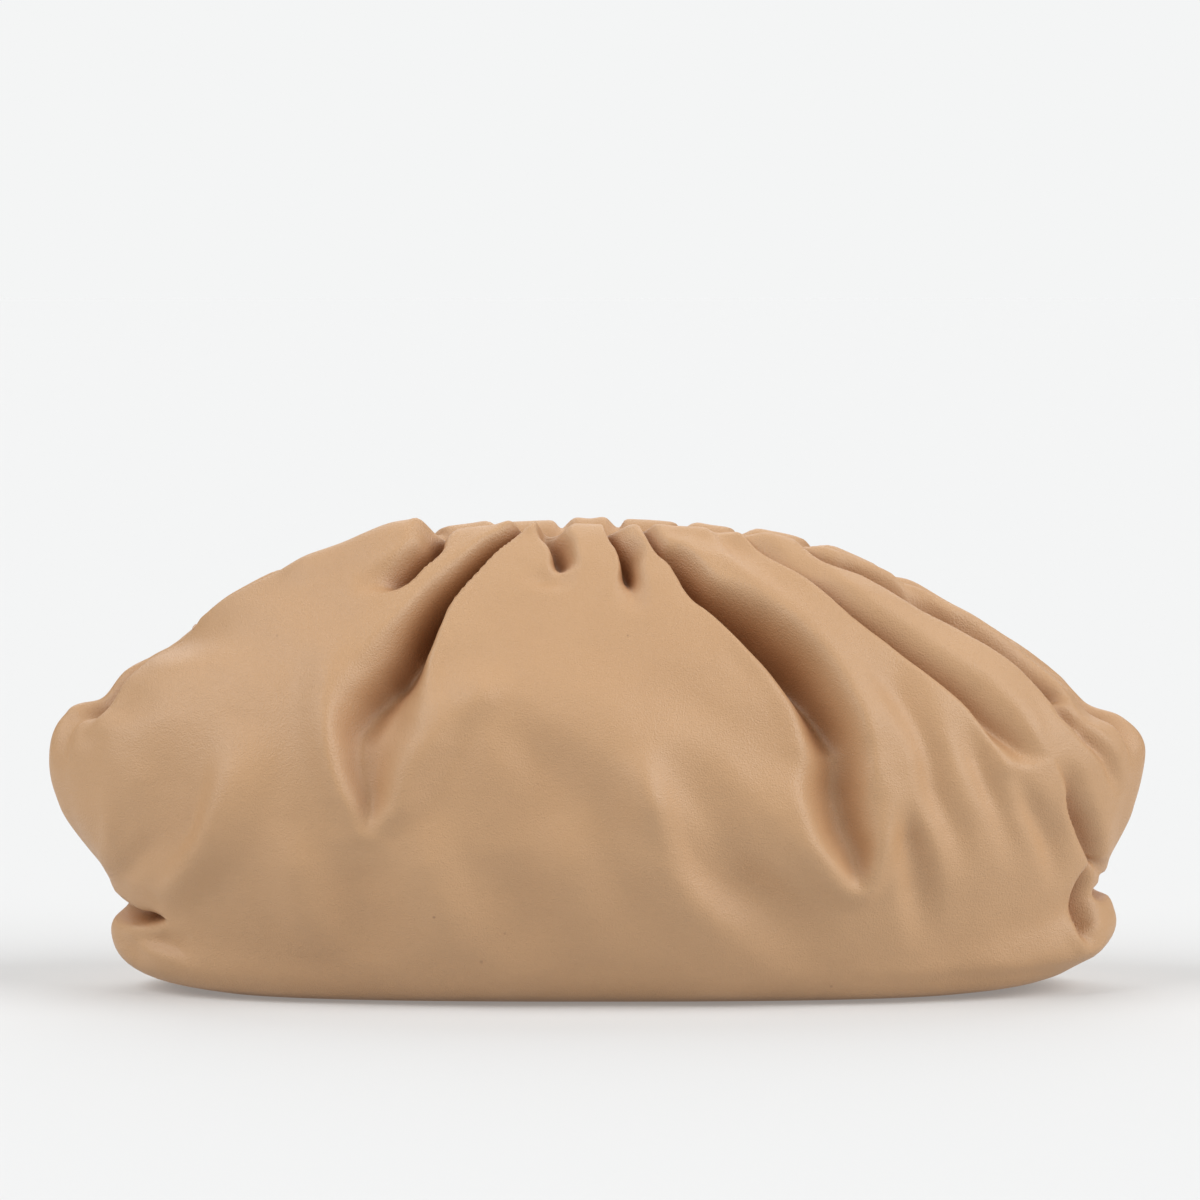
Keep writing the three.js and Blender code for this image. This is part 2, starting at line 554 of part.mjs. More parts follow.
// The inside of the leather: the outside moved in by the wall, and by more on steep banks,
// so that the wall keeps its thickness there
function innerGrid(outer) {
  return outer.map((row, r) =>
    row.map(({ place, normal }, c) => {
      const above = outer[Math.max(r - 1, 0)][c].place;
      const below = outer[Math.min(r + 1, outer.length - 1)][c].place;
      const before = row[(c + COLUMNS - 1) % COLUMNS].place;
      const after = row[(c + 1) % COLUMNS].place;
      const folded = below.clone().sub(above).cross(after.clone().sub(before)).normalize();
      const steep = Math.max(folded.dot(normal), 0.6);
      return place.clone().addScaledVector(normal, -LEATHER / steep);
    }),
  );
}

// Whether the four-sided face below a row and after a column is split from its first corner.
// Of its two diagonals, the one that lies nearer to the folded bag follows the folds.
function splitFromFirst(folds, outer, angles, downs, row, column) {
  const next = (column + 1) % COLUMNS;
  const nextAngle = next === 0 ? 2 * Math.PI : angles[next];
  const centre = foldedPoint(folds, (angles[column] + nextAngle) / 2, (downs[row] + downs[row + 1]) / 2).place;
  const from = (a, b) => a.clone().add(b).multiplyScalar(0.5).distanceTo(centre);
  const first = from(outer[row][column].place, outer[row + 1][next].place);
  return first <= from(outer[row + 1][column].place, outer[row][next].place);
}

// The gathered leather: an outside, an inside, the edge in the mouth and a flat base
function leatherGeometry() {
  const folds = layFolds();
  const angles = columnAngles(COLUMNS);
  const downs = rowPlaces();
  const outer = downs.map((down) => angles.map((angle) => foldedPoint(folds, angle, down)));
  const inner = innerGrid(outer);
  const points = [...outer.flat().map(({ place }) => place), ...inner.flat()];
  const inside = downs.length * COLUMNS;
  const triangles = [];
  for (let row = 0; row + 1 < downs.length; row++) {
    for (let column = 0; column < COLUMNS; column++) {
      const next = (column + 1) % COLUMNS;
      const a = row * COLUMNS + column;
      const b = a + COLUMNS;
      const c = (row + 1) * COLUMNS + next;
      const d = c - COLUMNS;
      const corners = splitFromFirst(folds, outer, angles, downs, row, column) ? [a, b, c, d] : [b, c, d, a];
      const [p, q, r, s] = corners;
      triangles.push(p, q, r, p, r, s);
      triangles.push(inside + r, inside + q, inside + p, inside + s, inside + r, inside + p);
    }
  }
  points.push(new THREE.Vector3(0, 0, 0), new THREE.Vector3(0, 0, LEATHER));
  const underside = points.length - 2;
  const lastRow = inside - COLUMNS;
  for (let column = 0; column < COLUMNS; column++) {
    const next = (column + 1) % COLUMNS;
    triangles.push(column, next, inside + next, column, inside + next, inside + column);
    triangles.push(underside, lastRow + next, lastRow + column);
    triangles.push(underside + 1, inside + lastRow + column, inside + lastRow + next);
  }
  const geometry = new THREE.BufferGeometry();
  geometry.setAttribute("position", new THREE.Float32BufferAttribute(points.flatMap((p) => p.toArray()), 3));
  geometry.setIndex(triangles);
  geometry.computeVertexNormals();
  return geometry;
}

// One jaw: an arched bar, drawn as it is seen from the front, with bevelled long edges
function jawGeometry() {
  const half = frameHalf - HINGE_LENGTH - SEAT_GAP - JAW_BEVEL;
  const top = [];
  for (let step = 0; step <= JAW_STEPS; step++) {
    const x = mix(-half, half, step / JAW_STEPS);
    top.push(new THREE.Vector2(x, frameTop(x) - JAW_BEVEL));
  }
  const bottom = top.map((p) => new THREE.Vector2(p.x, p.y - JAW_HEIGHT + 2 * JAW_BEVEL)).reverse();
  const geometry = new THREE.ExtrudeGeometry(new THREE.Shape([...top, ...bottom]), {
    depth: JAW_THICKNESS - 2 * JAW_BEVEL,
    bevelSize: JAW_BEVEL,
    bevelThickness: JAW_BEVEL,
    bevelSegments: 1,
  });
  geometry.translate(0, 0, -JAW_THICKNESS / 2 + JAW_BEVEL);
  return geometry.rotateX(Math.PI / 2);
}

function hingeGeometry() {
  return new THREE.CylinderGeometry(HINGE_RADIUS, HINGE_RADIUS, HINGE_LENGTH, HINGE_SIDES).rotateZ(Math.PI / 2);
}

function piece(name, geometry, material, x = 0, y = 0, z = 0) {
  const mesh = new THREE.Mesh(geometry, material);
  mesh.name = name;
  mesh.position.set(x, y, z);
  return mesh;
}

const jawOffset = (JAW_GAP + JAW_THICKNESS) / 2;
const hingeX = frameHalf - HINGE_LENGTH / 2;
const hingeZ = frameTop(hingeX) - JAW_HEIGHT / 2;

const bag = new THREE.Group();
bag.add(piece("leather_body", leatherGeometry(), LEATHER_LOOK));
bag.add(piece("frame_jaw_front", jawGeometry(), FRAME_LOOK, 0, -jawOffset));
bag.add(piece("frame_jaw_back", jawGeometry(), FRAME_LOOK, 0, jawOffset));
bag.add(piece("frame_hinge_left", hingeGeometry(), FRAME_LOOK, -hingeX, 0, hingeZ));
bag.add(piece("frame_hinge_right", hingeGeometry(), FRAME_LOOK, hingeX, 0, hingeZ));

// The folds leave the bag a little off centre, so it is moved to stand over the origin
const box = new THREE.Box3().setFromObject(bag);
bag.position.set(-(box.min.x + box.max.x) / 2, -(box.min.y + box.max.y) / 2, 0);

const pouch = new THREE.Group();
pouch.add(bag);
export default pouch;
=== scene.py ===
"""The cloud pouch bag as it looks: gathered tan nappa leather on a hidden hinged frame.

The leather is the part's own form at a finer mesh: rings of the bag joined by a spline,
with a table of folds pressed into them. The jaws and hinges are dressed over the CAD ones.
Sizes are in millimetres until a mesh is made. The front faces -Y.
"""

import math

import bpy
import numpy as np
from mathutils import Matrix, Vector, noise


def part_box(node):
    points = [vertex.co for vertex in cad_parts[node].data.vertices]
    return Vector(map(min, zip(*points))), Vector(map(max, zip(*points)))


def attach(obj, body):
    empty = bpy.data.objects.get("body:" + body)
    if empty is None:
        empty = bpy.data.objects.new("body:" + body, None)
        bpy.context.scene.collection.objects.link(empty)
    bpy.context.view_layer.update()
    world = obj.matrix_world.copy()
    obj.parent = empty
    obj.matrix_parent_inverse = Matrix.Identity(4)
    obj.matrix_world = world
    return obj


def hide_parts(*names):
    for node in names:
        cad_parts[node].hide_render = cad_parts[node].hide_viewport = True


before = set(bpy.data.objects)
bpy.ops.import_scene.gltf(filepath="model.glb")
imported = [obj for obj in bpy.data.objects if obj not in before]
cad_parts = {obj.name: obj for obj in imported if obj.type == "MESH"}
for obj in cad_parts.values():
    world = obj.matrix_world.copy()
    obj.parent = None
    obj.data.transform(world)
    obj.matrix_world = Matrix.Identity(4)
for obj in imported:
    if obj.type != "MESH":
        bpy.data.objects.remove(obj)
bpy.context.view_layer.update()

MM = 0.001

# Sizes of the filled bag
BAG_WIDTH = 382
BAG_HEIGHT = 165
FRONT_DEPTH = 77
BACK_DEPTH = 73
BELLY_HEIGHT = 70
TIP_HEIGHT = 83
BASE_LENGTH = 272
BASE_DEPTH = 84
LEATHER = 1.8

# Sizes of the frame
FRAME_LENGTH = 264
FRAME_ARCH = 42
ARCH_POWER = 2.8
JAW_THICKNESS = 5
JAW_HEIGHT = 9
JAW_ROUNDING = 2.2
JAW_GAP = 0.6
HINGE_LENGTH = 9
HINGE_RADIUS = 4
HINGE_SIDES = 40
HINGE_BEVEL = 0.12
KNUCKLES = 3
KNUCKLE_GROOVE = 0.35
SEAT_GAP = 0.3

# Sizes and shares of the gathers and folds
CREST_RISE = 8
CREST_ROLL = 10
LEFT_RISE = 9
FOLD_DEPTH = 12
FOLD_WIDTH = 12
FADE = 12
LIP_REACH = 3
LIP_FADE = 0.25
BANK_GROWTH = 3
VIEW_TILT = math.radians(6)
SWELLS = [(40, 1.7), (16, 0.55), (6, 0.12)]

# Fineness of the mesh. The inside is coarser, because only its edge shows.
COLUMNS = 519
INSIDE_STEP = 3
FRONT_CLOSENESS = 0.3
LATTICE_STEP = 0.05
NORMAL_STEP = 0.02
LINE_STEPS = 60
SMOOTHINGS = 2
JAW_STATIONS = 161
JAW_END_STATIONS = 7

# Sections, as shares of the way from the crest of the gathers to the belly
UPPER_SECTIONS = [
    dict(name="brow", left=0.2, right=0.2, depth=0.2, drop=0.08, left_drop=0.24,
         right_drop=0.17, square=3.2, bow=2.8, fan=0.5, give=0.8, rows=18),
    dict(name="shoulder", left=0.6, right=0.6, depth=0.55, drop=0.3, left_drop=0.52,
         right_drop=0.49, square=2.5, bow=2.6, fan=0.3, give=1, rows=34),
    dict(name="chest", left=0.91, right=0.91, depth=0.87, drop=0.64, left_drop=0.77,
         right_drop=0.8, square=2.2, bow=2.4, fan=0.1, give=1, rows=22),
]

# Sections, as shares of the way from the belly to the base
LOWER_SECTIONS = [
    dict(name="hip", left=0.05, right=0.06, depth=0.03, drop=0.36, left_drop=0.24,
         right_drop=0.24, square=2.1, bow=2.4, fan=0, give=1, rows=14),
    dict(name="waist", left=0.33, right=0.2, depth=0.18, drop=0.66, left_drop=0.5,
         right_drop=0.47, square=2.2, bow=3, fan=0, give=1, rows=8),
    dict(name="pinch", left=0.44, right=0.27, depth=0.33, drop=0.8, left_drop=0.64,
         right_drop=0.575, square=2.3, bow=4, fan=0, give=1, rows=8),
    dict(name="ear", left=0.35, right=0.13, depth=0.5, drop=0.91, left_drop=0.76,
         right_drop=0.7, square=2.4, bow=5, fan=0, give=0.8, rows=8),
    dict(name="heel", left=0.5, right=0.34, depth=0.75, drop=0.97, left_drop=0.92,
         right_drop=0.9, square=2.5, bow=6, fan=0, give=0.3, rows=6),
]


def fold(name, face, soft, stops, lift=0, pleat=False, lip=None):
    """One fold of the table, with the percentages of its stops turned into shares."""
    shares = [[percentage / 100 for percentage in stop] for stop in stops]
    return dict(name=name, face=face, soft=soft, stops=shares, lift=lift, pleat=pleat, lip=lip)


# Folds. Each stop is a point down the fold: across, up, depth, left, right, in percent.
# across and up are parts of the half width (of the front depth on an end) and of the height.
# depth is how far the valley sinks, as a part of FOLD_DEPTH, and a negative depth is a ridge.
# left and right are the distances to the tops of its two banks, as parts of FOLD_WIDTH. soft
# goes from a sharp crease, 0, to a round valley, 1. lift is the rise of the banks. A pleat
# starts in the mouth. lip is a bank with a crisp edge: which one, how far it leans over the
# valley, as a share of FOLD_WIDTH, and the share of the fold's length that keeps it.
FOLDS = [
    fold("left_roll", "front", soft=1, pleat=True, stops=[
        (-33, 101, -75, 283, 38), (-34, 99, -67, 267, 46), (-36, 94, -42, 250, 75),
        (-41, 87, -17, 217, 92), (-46, 81, 0, 167, 100),
    ]),
    fold("left_tuck", "front", soft=0.95, lift=0.02, pleat=True, lip=("right", 0.25, 0.6), stops=[
        (-28, 99, 100, 58, 33), (-29, 95, 142, 67, 29), (-32, 92, 142, 75, 29), (-35, 89, 92, 83, 33),
        (-39, 88, 38, 83, 58), (-44, 87, 0, 75, 67),
    ]),
    fold("left_cleft", "front", soft=0.95, lift=0.07, pleat=True, lip=("right", 0.33, 0.36), stops=[
        (-14, 100, 83, 42, 33), (-19, 95, 150, 58, 33), (-23, 90, 192, 75, 33), (-27, 84, 200, 92, 33),
        (-30, 79, 175, 108, 38), (-33, 73, 133, 133, 50), (-37, 66, 83, 142, 133),
        (-40, 61, 71, 125, 183), (-42, 56, 62, 104, 183), (-42, 49, 50, 92, 150), (-41, 42, 30, 75, 83),
        (-41, 37, 15, 42, 42), (-40, 34, 0, 33, 33),
    ]),
    fold("left_bank", "front", soft=1, stops=[
        (-45, 77, 0, 117, 83), (-48, 69, -17, 117, 75), (-49, 62, -25, 108, 67), (-48, 55, -27, 100, 62),
        (-46, 47, -25, 83, 54), (-43, 40, -18, 67, 50), (-41, 35, -10, 50, 42), (-38, 33, 0, 42, 33),
    ]),
    fold("right_bank", "front", soft=1, stops=[
        (-42, 34, 0, 42, 50), (-39, 36, -13, 50, 67), (-35, 41, -27, 67, 100), (-32, 49, -33, 83, 133),
        (-27, 58, -33, 100, 150), (-21, 64, -25, 100, 133), (-15, 66, 0, 83, 100),
    ]),
    fold("centre_nick", "front", soft=0.9, lift=0.02, pleat=True, lip=("left", 0.21, 0.75), stops=[
        (-9, 100, 83, 29, 75), (-8, 96, 108, 29, 75), (-7, 93, 83, 33, 67), (-6, 90, 0, 42, 67),
    ]),
    fold("centre_slit", "front", soft=0.5, lift=0.05, pleat=True, lip=("left", 0.21, 0.65), stops=[
        (2, 100, 75, 29, 58), (4, 95, 108, 29, 58), (5, 91, 92, 33, 50), (6, 87, 28, 58, 58),
        (6, 81, 0, 67, 67),
    ]),
    fold("right_cleft", "front", soft=0.9, lift=0.07, pleat=True, lip=("left", 0.33, 0.5), stops=[
        (9, 98, 50, 29, 50), (13, 93, 100, 35, 83), (17, 86, 158, 42, 108), (22, 81, 183, 46, 125),
        (27, 77, 192, 50, 133), (33, 71, 183, 58, 125), (38, 64, 133, 67, 117), (41, 57, 67, 83, 108),
        (42, 52, 0, 83, 100),
    ]),
    fold("right_drape", "front", soft=1, stops=[
        (38, 64, 0, 83, 100), (41, 58, 54, 100, 108), (43, 51, 92, 117, 108), (43, 44, 100, 133, 100),
        (44, 37, 83, 125, 92), (46, 31, 50, 83, 67), (47, 26, 15, 50, 42), (48, 23, 0, 33, 42),
    ]),
    fold("right_drape_rim", "front", soft=1, stops=[
        (52, 47, 0, 50, 58), (52, 39, -17, 58, 75), (50, 31, -22, 50, 67), (47, 24, -27, 58, 67),
        (43, 26, -30, 58, 75), (39, 33, -30, 67, 100), (35, 41, -23, 83, 125), (32, 49, 0, 83, 125),
    ]),
    fold("right_bank_ridge", "front", soft=0.9, stops=[
        (22, 93, 0, 67, 67), (30, 88, -13, 67, 75), (38, 79, -18, 67, 83), (44, 69, -20, 67, 100),
        (48, 58, -20, 67, 108), (49, 49, -17, 67, 100), (50, 41, 0, 67, 83),
    ]),
    fold("right_pleat", "front", soft=0.8, lift=0.03, pleat=True, stops=[
        (23, 99, 25, 42, 58), (27, 94, 25, 58, 75), (33, 87, 13, 75, 83), (37, 80, 0, 75, 83),
    ]),
    fold("right_line", "front", soft=0.6, lift=0.08, pleat=True, lip=("left", 0.29, 0.8), stops=[
        (29, 97, 33, 29, 67), (38, 89, 54, 29, 83), (46, 81, 62, 29, 100), (54, 74, 71, 33, 117),
        (61, 68, 75, 42, 117), (67, 63, 71, 50, 117), (72, 57, 62, 67, 100), (76, 53, 42, 67, 75),
        (79, 49, 0, 42, 50),
    ]),
    fold("right_roll", "front", soft=0.6, lift=0.08, pleat=True, lip=("left", 0.29, 0.8), stops=[
        (40, 95, 42, 29, 58), (48, 91, 58, 29, 75), (56, 85, 67, 33, 83), (64, 80, 67, 38, 92),
        (71, 75, 67, 38, 83), (78, 69, 55, 42, 75), (83, 64, 37, 50, 67), (88, 58, 0, 58, 67),
    ]),
    fold("right_tuck", "front", soft=0.9, lift=0.03, pleat=True, lip=("left", 0.1, 0.9), stops=[
        (61, 85, 17, 42, 42), (68, 80, 42, 50, 50), (72, 76, 83, 50, 67), (77, 72, 108, 50, 75),
        (80, 69, 100, 50, 75), (83, 66, 58, 42, 50), (86, 64, 0, 33, 33),
    ]),
    fold("right_ripple", "front", soft=1, lift=0.02, stops=[
        (50, 73, 0, 67, 67), (55, 63, 25, 75, 75), (59, 54, 30, 75, 75), (61, 44, 28, 75, 75),
        (64, 35, 20, 75, 75), (66, 26, 0, 67, 67),
    ]),
    fold("right_ripple_2", "front", soft=1, lift=0.02, stops=[
        (63, 59, 0, 58, 58), (68, 51, 25, 67, 67), (71, 43, 27, 67, 67), (74, 34, 13, 67, 67),
        (76, 27, 0, 67, 67),
    ]),
    fold("right_ripple_3", "front", soft=1, lift=0.02, stops=[
        (74, 50, 0, 58, 58), (78, 41, 25, 67, 67), (82, 33, 27, 67, 67), (84, 24, 0, 67, 67),
    ]),
    fold("right_dimple", "front", soft=1, lift=0.02, stops=[
        (54, 42, 0, 67, 67), (56, 34, 33, 75, 75), (58, 24, 30, 83, 83), (60, 12, 0, 83, 83),
    ]),
    fold("right_flank", "front", soft=0.7, lift=0.02, lip=("left", 0.21, 0.85), stops=[
        (83, 51, 0, 33, 67), (85, 46, 28, 33, 75), (86, 41, 50, 33, 92), (88, 36, 67, 33, 92),
        (90, 31, 58, 33, 75), (92, 28, 25, 33, 50), (93, 25, 0, 33, 42),
    ]),
    fold("tip_valley", "front", soft=1, lift=0.02, stops=[
        (83, 62, 0, 42, 42), (86, 60, 30, 42, 50), (89, 56, 37, 42, 50), (92, 53, 33, 42, 50),
        (94, 48, 22, 42, 50), (96, 43, 0, 42, 42),
    ]),
    fold("centre_ridge", "front", soft=1, stops=[
        (7, 52, 0, 117, 100), (9, 41, -30, 133, 92), (12, 30, -42, 142, 92), (17, 21, -33, 142, 100),
        (25, 12, 0, 133, 117),
    ]),
    fold("centre_hollow", "front", soft=1, stops=[
        (13, 53, 0, 100, 117), (16, 45, 33, 117, 150), (21, 36, 46, 133, 167), (27, 26, 54, 150, 183),
        (34, 16, 38, 150, 167), (41, 8, 0, 117, 133),
    ]),
    fold("low_ridge_1", "front", soft=1, stops=[
        (-55, 38, 0, 117, 117), (-54, 29, -25, 133, 117), (-52, 18, -23, 133, 117),
        (-50, 8, 0, 133, 133),
    ]),
    fold("low_hollow_1", "front", soft=1, stops=[
        (-45, 34, 0, 100, 100), (-43, 26, 28, 125, 133), (-41, 16, 27, 133, 150), (-39, 8, 0, 133, 150),
    ]),
    fold("low_ridge_2", "front", soft=1, stops=[
        (-32, 38, 0, 117, 117), (-30, 29, -25, 133, 117), (-27, 18, -20, 133, 117),
        (-26, 9, 0, 133, 133),
    ]),
    fold("low_hollow_2", "front", soft=1, stops=[
        (-18, 31, 0, 125, 125), (-16, 23, 25, 150, 150), (-13, 14, 22, 150, 150), (-10, 7, 0, 150, 150),
    ]),
    fold("left_ridge", "front", soft=1, stops=[
        (-80, 22, 0, 83, 50), (-76, 26, -37, 108, 58), (-72, 31, -50, 125, 58), (-69, 37, -50, 142, 67),
        (-66, 47, -33, 167, 100), (-64, 59, 0, 167, 133),
    ]),
    fold("left_ray_1", "front", soft=0.8, lift=0.05, stops=[
        (-88, 25, 0, 42, 42), (-85, 28, 17, 50, 50), (-81, 32, 12, 67, 67), (-75, 36, 0, 67, 67),
    ]),
    fold("left_ray_2", "front", soft=1, stops=[
        (-89, 44, 0, 50, 50), (-89, 34, -13, 50, 58), (-89, 25, 0, 42, 50),
    ]),
    fold("left_dimple", "front", soft=1, lift=0.03, stops=[
        (-94, 59, 0, 67, 67), (-92, 55, 12, 92, 92), (-93, 48, 8, 100, 100), (-94, 40, 0, 83, 83),
    ]),
    fold("left_hollow", "front", soft=1, stops=[
        (-82, 56, 0, 167, 167), (-77, 46, 17, 183, 183), (-82, 35, 13, 150, 150), (-84, 29, 0, 100, 100),
    ]),
    fold("left_pinch", "left", soft=0.2, lift=0.12, lip=("left", 0.25, 0.45), stops=[
        (-46, 17, 0, 25, 25), (-41, 17, 67, 33, 33), (-34, 17, 92, 33, 42), (-20, 18, 50, 42, 58),
        (5, 19, 17, 58, 67), (30, 18, 38, 50, 58), (50, 15, 0, 42, 50),
    ]),
    fold("left_saddle", "left", soft=1, stops=[
        (-60, 75, 0, 100, 117), (-30, 77, 30, 142, 150), (0, 78, 42, 150, 158), (25, 77, 30, 142, 150),
        (50, 75, 0, 100, 117),
    ]),
    fold("right_saddle", "right", soft=1, stops=[
        (-50, 61, 0, 83, 83), (-20, 61, 22, 100, 100), (0, 62, 27, 108, 100), (20, 61, 22, 100, 100),
        (45, 61, 0, 83, 83),
    ]),
    fold("left_ear_step", "front", soft=0.6, lift=0.07, stops=[
        (-85, 14, 0, 33, 42), (-82, 13, 20, 33, 58), (-77, 11, 20, 33, 67), (-73, 8, 0, 42, 58),
    ]),
    fold("left_ear_hollow", "front", soft=1, stops=[
        (-88, 14, 0, 58, 58), (-85, 10, 22, 75, 75), (-81, 8, 0, 67, 67),
    ]),
    fold("right_pinch", "right", soft=0.6, lift=0.08, stops=[
        (-24, 21, 0, 25, 25), (-18, 21, 28, 33, 33), (-9, 22, 47, 42, 42), (4, 22, 30, 50, 50),
        (16, 22, 15, 58, 58), (32, 20, 30, 58, 58), (50, 17, 0, 42, 50),
    ]),
    fold("right_dish", "front", soft=0.9, lift=0.04, lip=("left", 0.12, 1), stops=[
        (92, 29, 0, 25, 33), (90, 28, 25, 25, 50), (88, 25, 50, 25, 75), (87, 21, 62, 27, 92),
        (88, 17, 58, 27, 92), (89, 14, 33, 33, 67), (91, 12, 0, 33, 42),
    ]),
    fold("left_bellows", "left", soft=0.6, lift=0.15, stops=[
        (3, 72, 17, 75, 75), (6, 58, 58, 108, 108), (5, 42, 42, 108, 108), (0, 26, 0, 67, 67),
    ]),
    fold("right_bellows", "right", soft=0.6, lift=0.15, stops=[
        (6, 70, 17, 75, 75), (10, 56, 50, 108, 108), (6, 40, 42, 100, 100), (2, 28, 0, 67, 67),
    ]),
    fold("left_gusset", "left", soft=0.5, lift=0.1, stops=[
        (-12, 70, 8, 67, 67), (-22, 62, 33, 75, 75), (-34, 52, 0, 75, 75),
    ]),
    fold("left_ray_3", "left", soft=0.8, lift=0.07, stops=[
        (28, 20, 17, 42, 42), (34, 30, 25, 58, 58), (40, 44, 0, 75, 75),
    ]),
    fold("right_ray_3", "right", soft=0.8, lift=0.07, stops=[
        (26, 22, 17, 42, 42), (33, 34, 25, 58, 58), (38, 50, 0, 75, 75),
    ]),
    fold("back_nick_1", "back", soft=0.6, lift=0.07, pleat=True, lip=("left", 0.21, 0.6), stops=[
        (4, 98, 50, 33, 42), (3, 92, 83, 33, 50), (4, 86, 67, 42, 58), (6, 80, 0, 58, 58),
    ]),
    fold("back_nick_2", "back", soft=0.6, lift=0.07, pleat=True, lip=("right", 0.21, 0.6), stops=[
        (-8, 98, 50, 42, 33), (-9, 91, 83, 50, 33), (-10, 85, 58, 58, 42), (-12, 78, 0, 58, 67),
    ]),
    fold("back_drape_1", "back", soft=0.9, lift=0.08, pleat=True, lip=("right", 0.33, 0.5), stops=[
        (17, 98, 50, 42, 33), (22, 88, 117, 75, 33), (29, 77, 150, 125, 42), (34, 64, 125, 167, 58),
        (38, 52, 75, 158, 108), (39, 42, 33, 100, 75), (40, 34, 0, 58, 50),
    ]),
    fold("back_tuck_1", "back", soft=0.7, lift=0.07, pleat=True, lip=("right", 0.21, 0.55), stops=[
        (30, 96, 58, 42, 33), (36, 89, 83, 67, 33), (43, 81, 58, 83, 50), (50, 73, 25, 83, 75),
        (54, 66, 0, 67, 67),
    ]),
    fold("back_roll_1", "back", soft=0.7, lift=0.07, pleat=True, lip=("right", 0.29, 0.7), stops=[
        (43, 93, 50, 50, 29), (56, 81, 75, 83, 33), (66, 69, 83, 100, 38), (73, 57, 58, 100, 58),
        (78, 46, 25, 75, 67), (80, 38, 0, 58, 58),
    ]),
    fold("back_tuck_2", "back", soft=0.6, lift=0.05, pleat=True, lip=("right", 0.21, 0.7), stops=[
        (60, 85, 42, 50, 33), (70, 77, 67, 67, 33), (80, 68, 67, 67, 42), (87, 60, 33, 58, 50),
        (90, 53, 0, 50, 50),
    ]),
    fold("back_drape_2", "back", soft=0.9, lift=0.08, pleat=True, lip=("left", 0.33, 0.5), stops=[
        (-19, 98, 50, 33, 42), (-24, 89, 108, 33, 75), (-33, 77, 150, 42, 125), (-40, 63, 133, 58, 158),
        (-43, 49, 75, 108, 142), (-45, 38, 33, 75, 92), (-46, 30, 0, 50, 58),
    ]),
    fold("back_tuck_3", "back", soft=0.7, lift=0.05, pleat=True, lip=("left", 0.21, 0.55), stops=[
        (-33, 96, 50, 33, 42), (-41, 88, 75, 33, 67), (-50, 79, 50, 50, 75), (-56, 71, 17, 75, 75),
        (-59, 64, 0, 67, 67),
    ]),
    fold("back_roll_2", "back", soft=0.7, lift=0.07, pleat=True, lip=("left", 0.29, 0.65), stops=[
        (-46, 92, 50, 29, 50), (-58, 80, 75, 33, 83), (-67, 68, 75, 38, 100), (-72, 56, 50, 67, 100),
        (-75, 44, 0, 75, 67),
    ]),
    fold("back_tuck_4", "back", soft=0.6, lift=0.05, pleat=True, lip=("left", 0.21, 0.7), stops=[
        (-62, 84, 42, 33, 50), (-73, 75, 67, 33, 67), (-82, 66, 58, 42, 67), (-88, 58, 25, 50, 58),
        (-91, 50, 0, 50, 50),
    ]),
    fold("back_ridge", "back", soft=1, stops=[
        (62, 12, 0, 100, 100), (67, 24, -33, 133, 100), (65, 40, -38, 167, 108), (60, 54, 0, 150, 117),
    ]),
    fold("low_ridge_3", "front", soft=1, stops=[
        (-8, 39, 0, 117, 117), (-5, 29, -20, 150, 133), (-2, 18, -18, 150, 133), (1, 8, 0, 150, 150),
    ]),
    fold("right_dish_rim", "front", soft=0.9, stops=[
        (86, 18, 0, 33, 33), (87, 14, -13, 42, 33), (89, 11, -20, 42, 33), (92, 11, -17, 42, 33),
        (94, 14, 0, 33, 33),
    ]),
    fold("left_brow", "front", soft=1, stops=[
        (-58, 89, 0, 83, 83), (-53, 92, -25, 100, 100), (-43, 96, -30, 100, 100), (-37, 99, -20, 83, 83),
        (-32, 99, 0, 67, 67),
    ]),
    fold("middle_brow", "front", soft=1, stops=[
        (8, 99, 0, 67, 67), (15, 99, 13, 83, 83), (23, 98, 25, 100, 100), (37, 95, 28, 100, 100),
        (48, 91, 32, 100, 100), (61, 84, 25, 100, 100), (71, 77, 0, 83, 83),
    ]),
    fold("back_brow", "back", soft=1, stops=[
        (-6, 99, 0, 67, 67), (0, 98, 33, 83, 83), (12, 98, 33, 100, 100), (23, 97, 46, 108, 108),
        (37, 94, 46, 108, 108), (48, 91, 50, 108, 108), (61, 84, 42, 100, 100), (71, 77, 0, 83, 83),
    ]),
    fold("left_drape_2", "front", soft=1, stops=[
        (-32, 75, 0, 67, 58), (-35, 69, 33, 83, 67), (-39, 64, 42, 92, 75), (-42, 59, 30, 92, 75),
        (-45, 53, 0, 75, 75),
    ]),
    fold("belly_rise", "front", soft=1, stops=[
        (-23, 68, 0, 83, 83), (-21, 61, -12, 100, 100), (-19, 54, -15, 117, 117),
        (-17, 46, -10, 117, 117), (-16, 37, 0, 100, 100),
    ]),
    fold("left_saddle_2", "left", soft=1, stops=[
        (-55, 61, 0, 83, 67), (-30, 62, 25, 125, 92), (0, 63, 40, 133, 92), (25, 62, 25, 125, 92),
        (50, 61, 0, 83, 67),
    ]),
    fold("belly_break", "front", soft=1, stops=[
        (-22, 66, 0, 100, 167), (-14, 63, -22, 142, 233), (-1, 55, -41, 167, 283),
        (12, 43, -51, 167, 300), (26, 33, -43, 158, 267), (37, 26, -24, 125, 200), (45, 22, 0, 100, 133),
    ]),
    fold("centre_crescent", "front", soft=1, lift=0.02, stops=[
        (-4, 89, 0, 42, 42), (-7, 88, 18, 50, 50), (-10, 88, 18, 50, 50), (-14, 89, 0, 42, 42),
    ]),
    fold("back_break", "back", soft=1, stops=[
        (30, 50, 0, 117, 100), (16, 44, -22, 233, 150), (-2, 38, -28, 267, 167),
        (-20, 30, -25, 250, 150), (-36, 22, 0, 167, 117),
    ]),
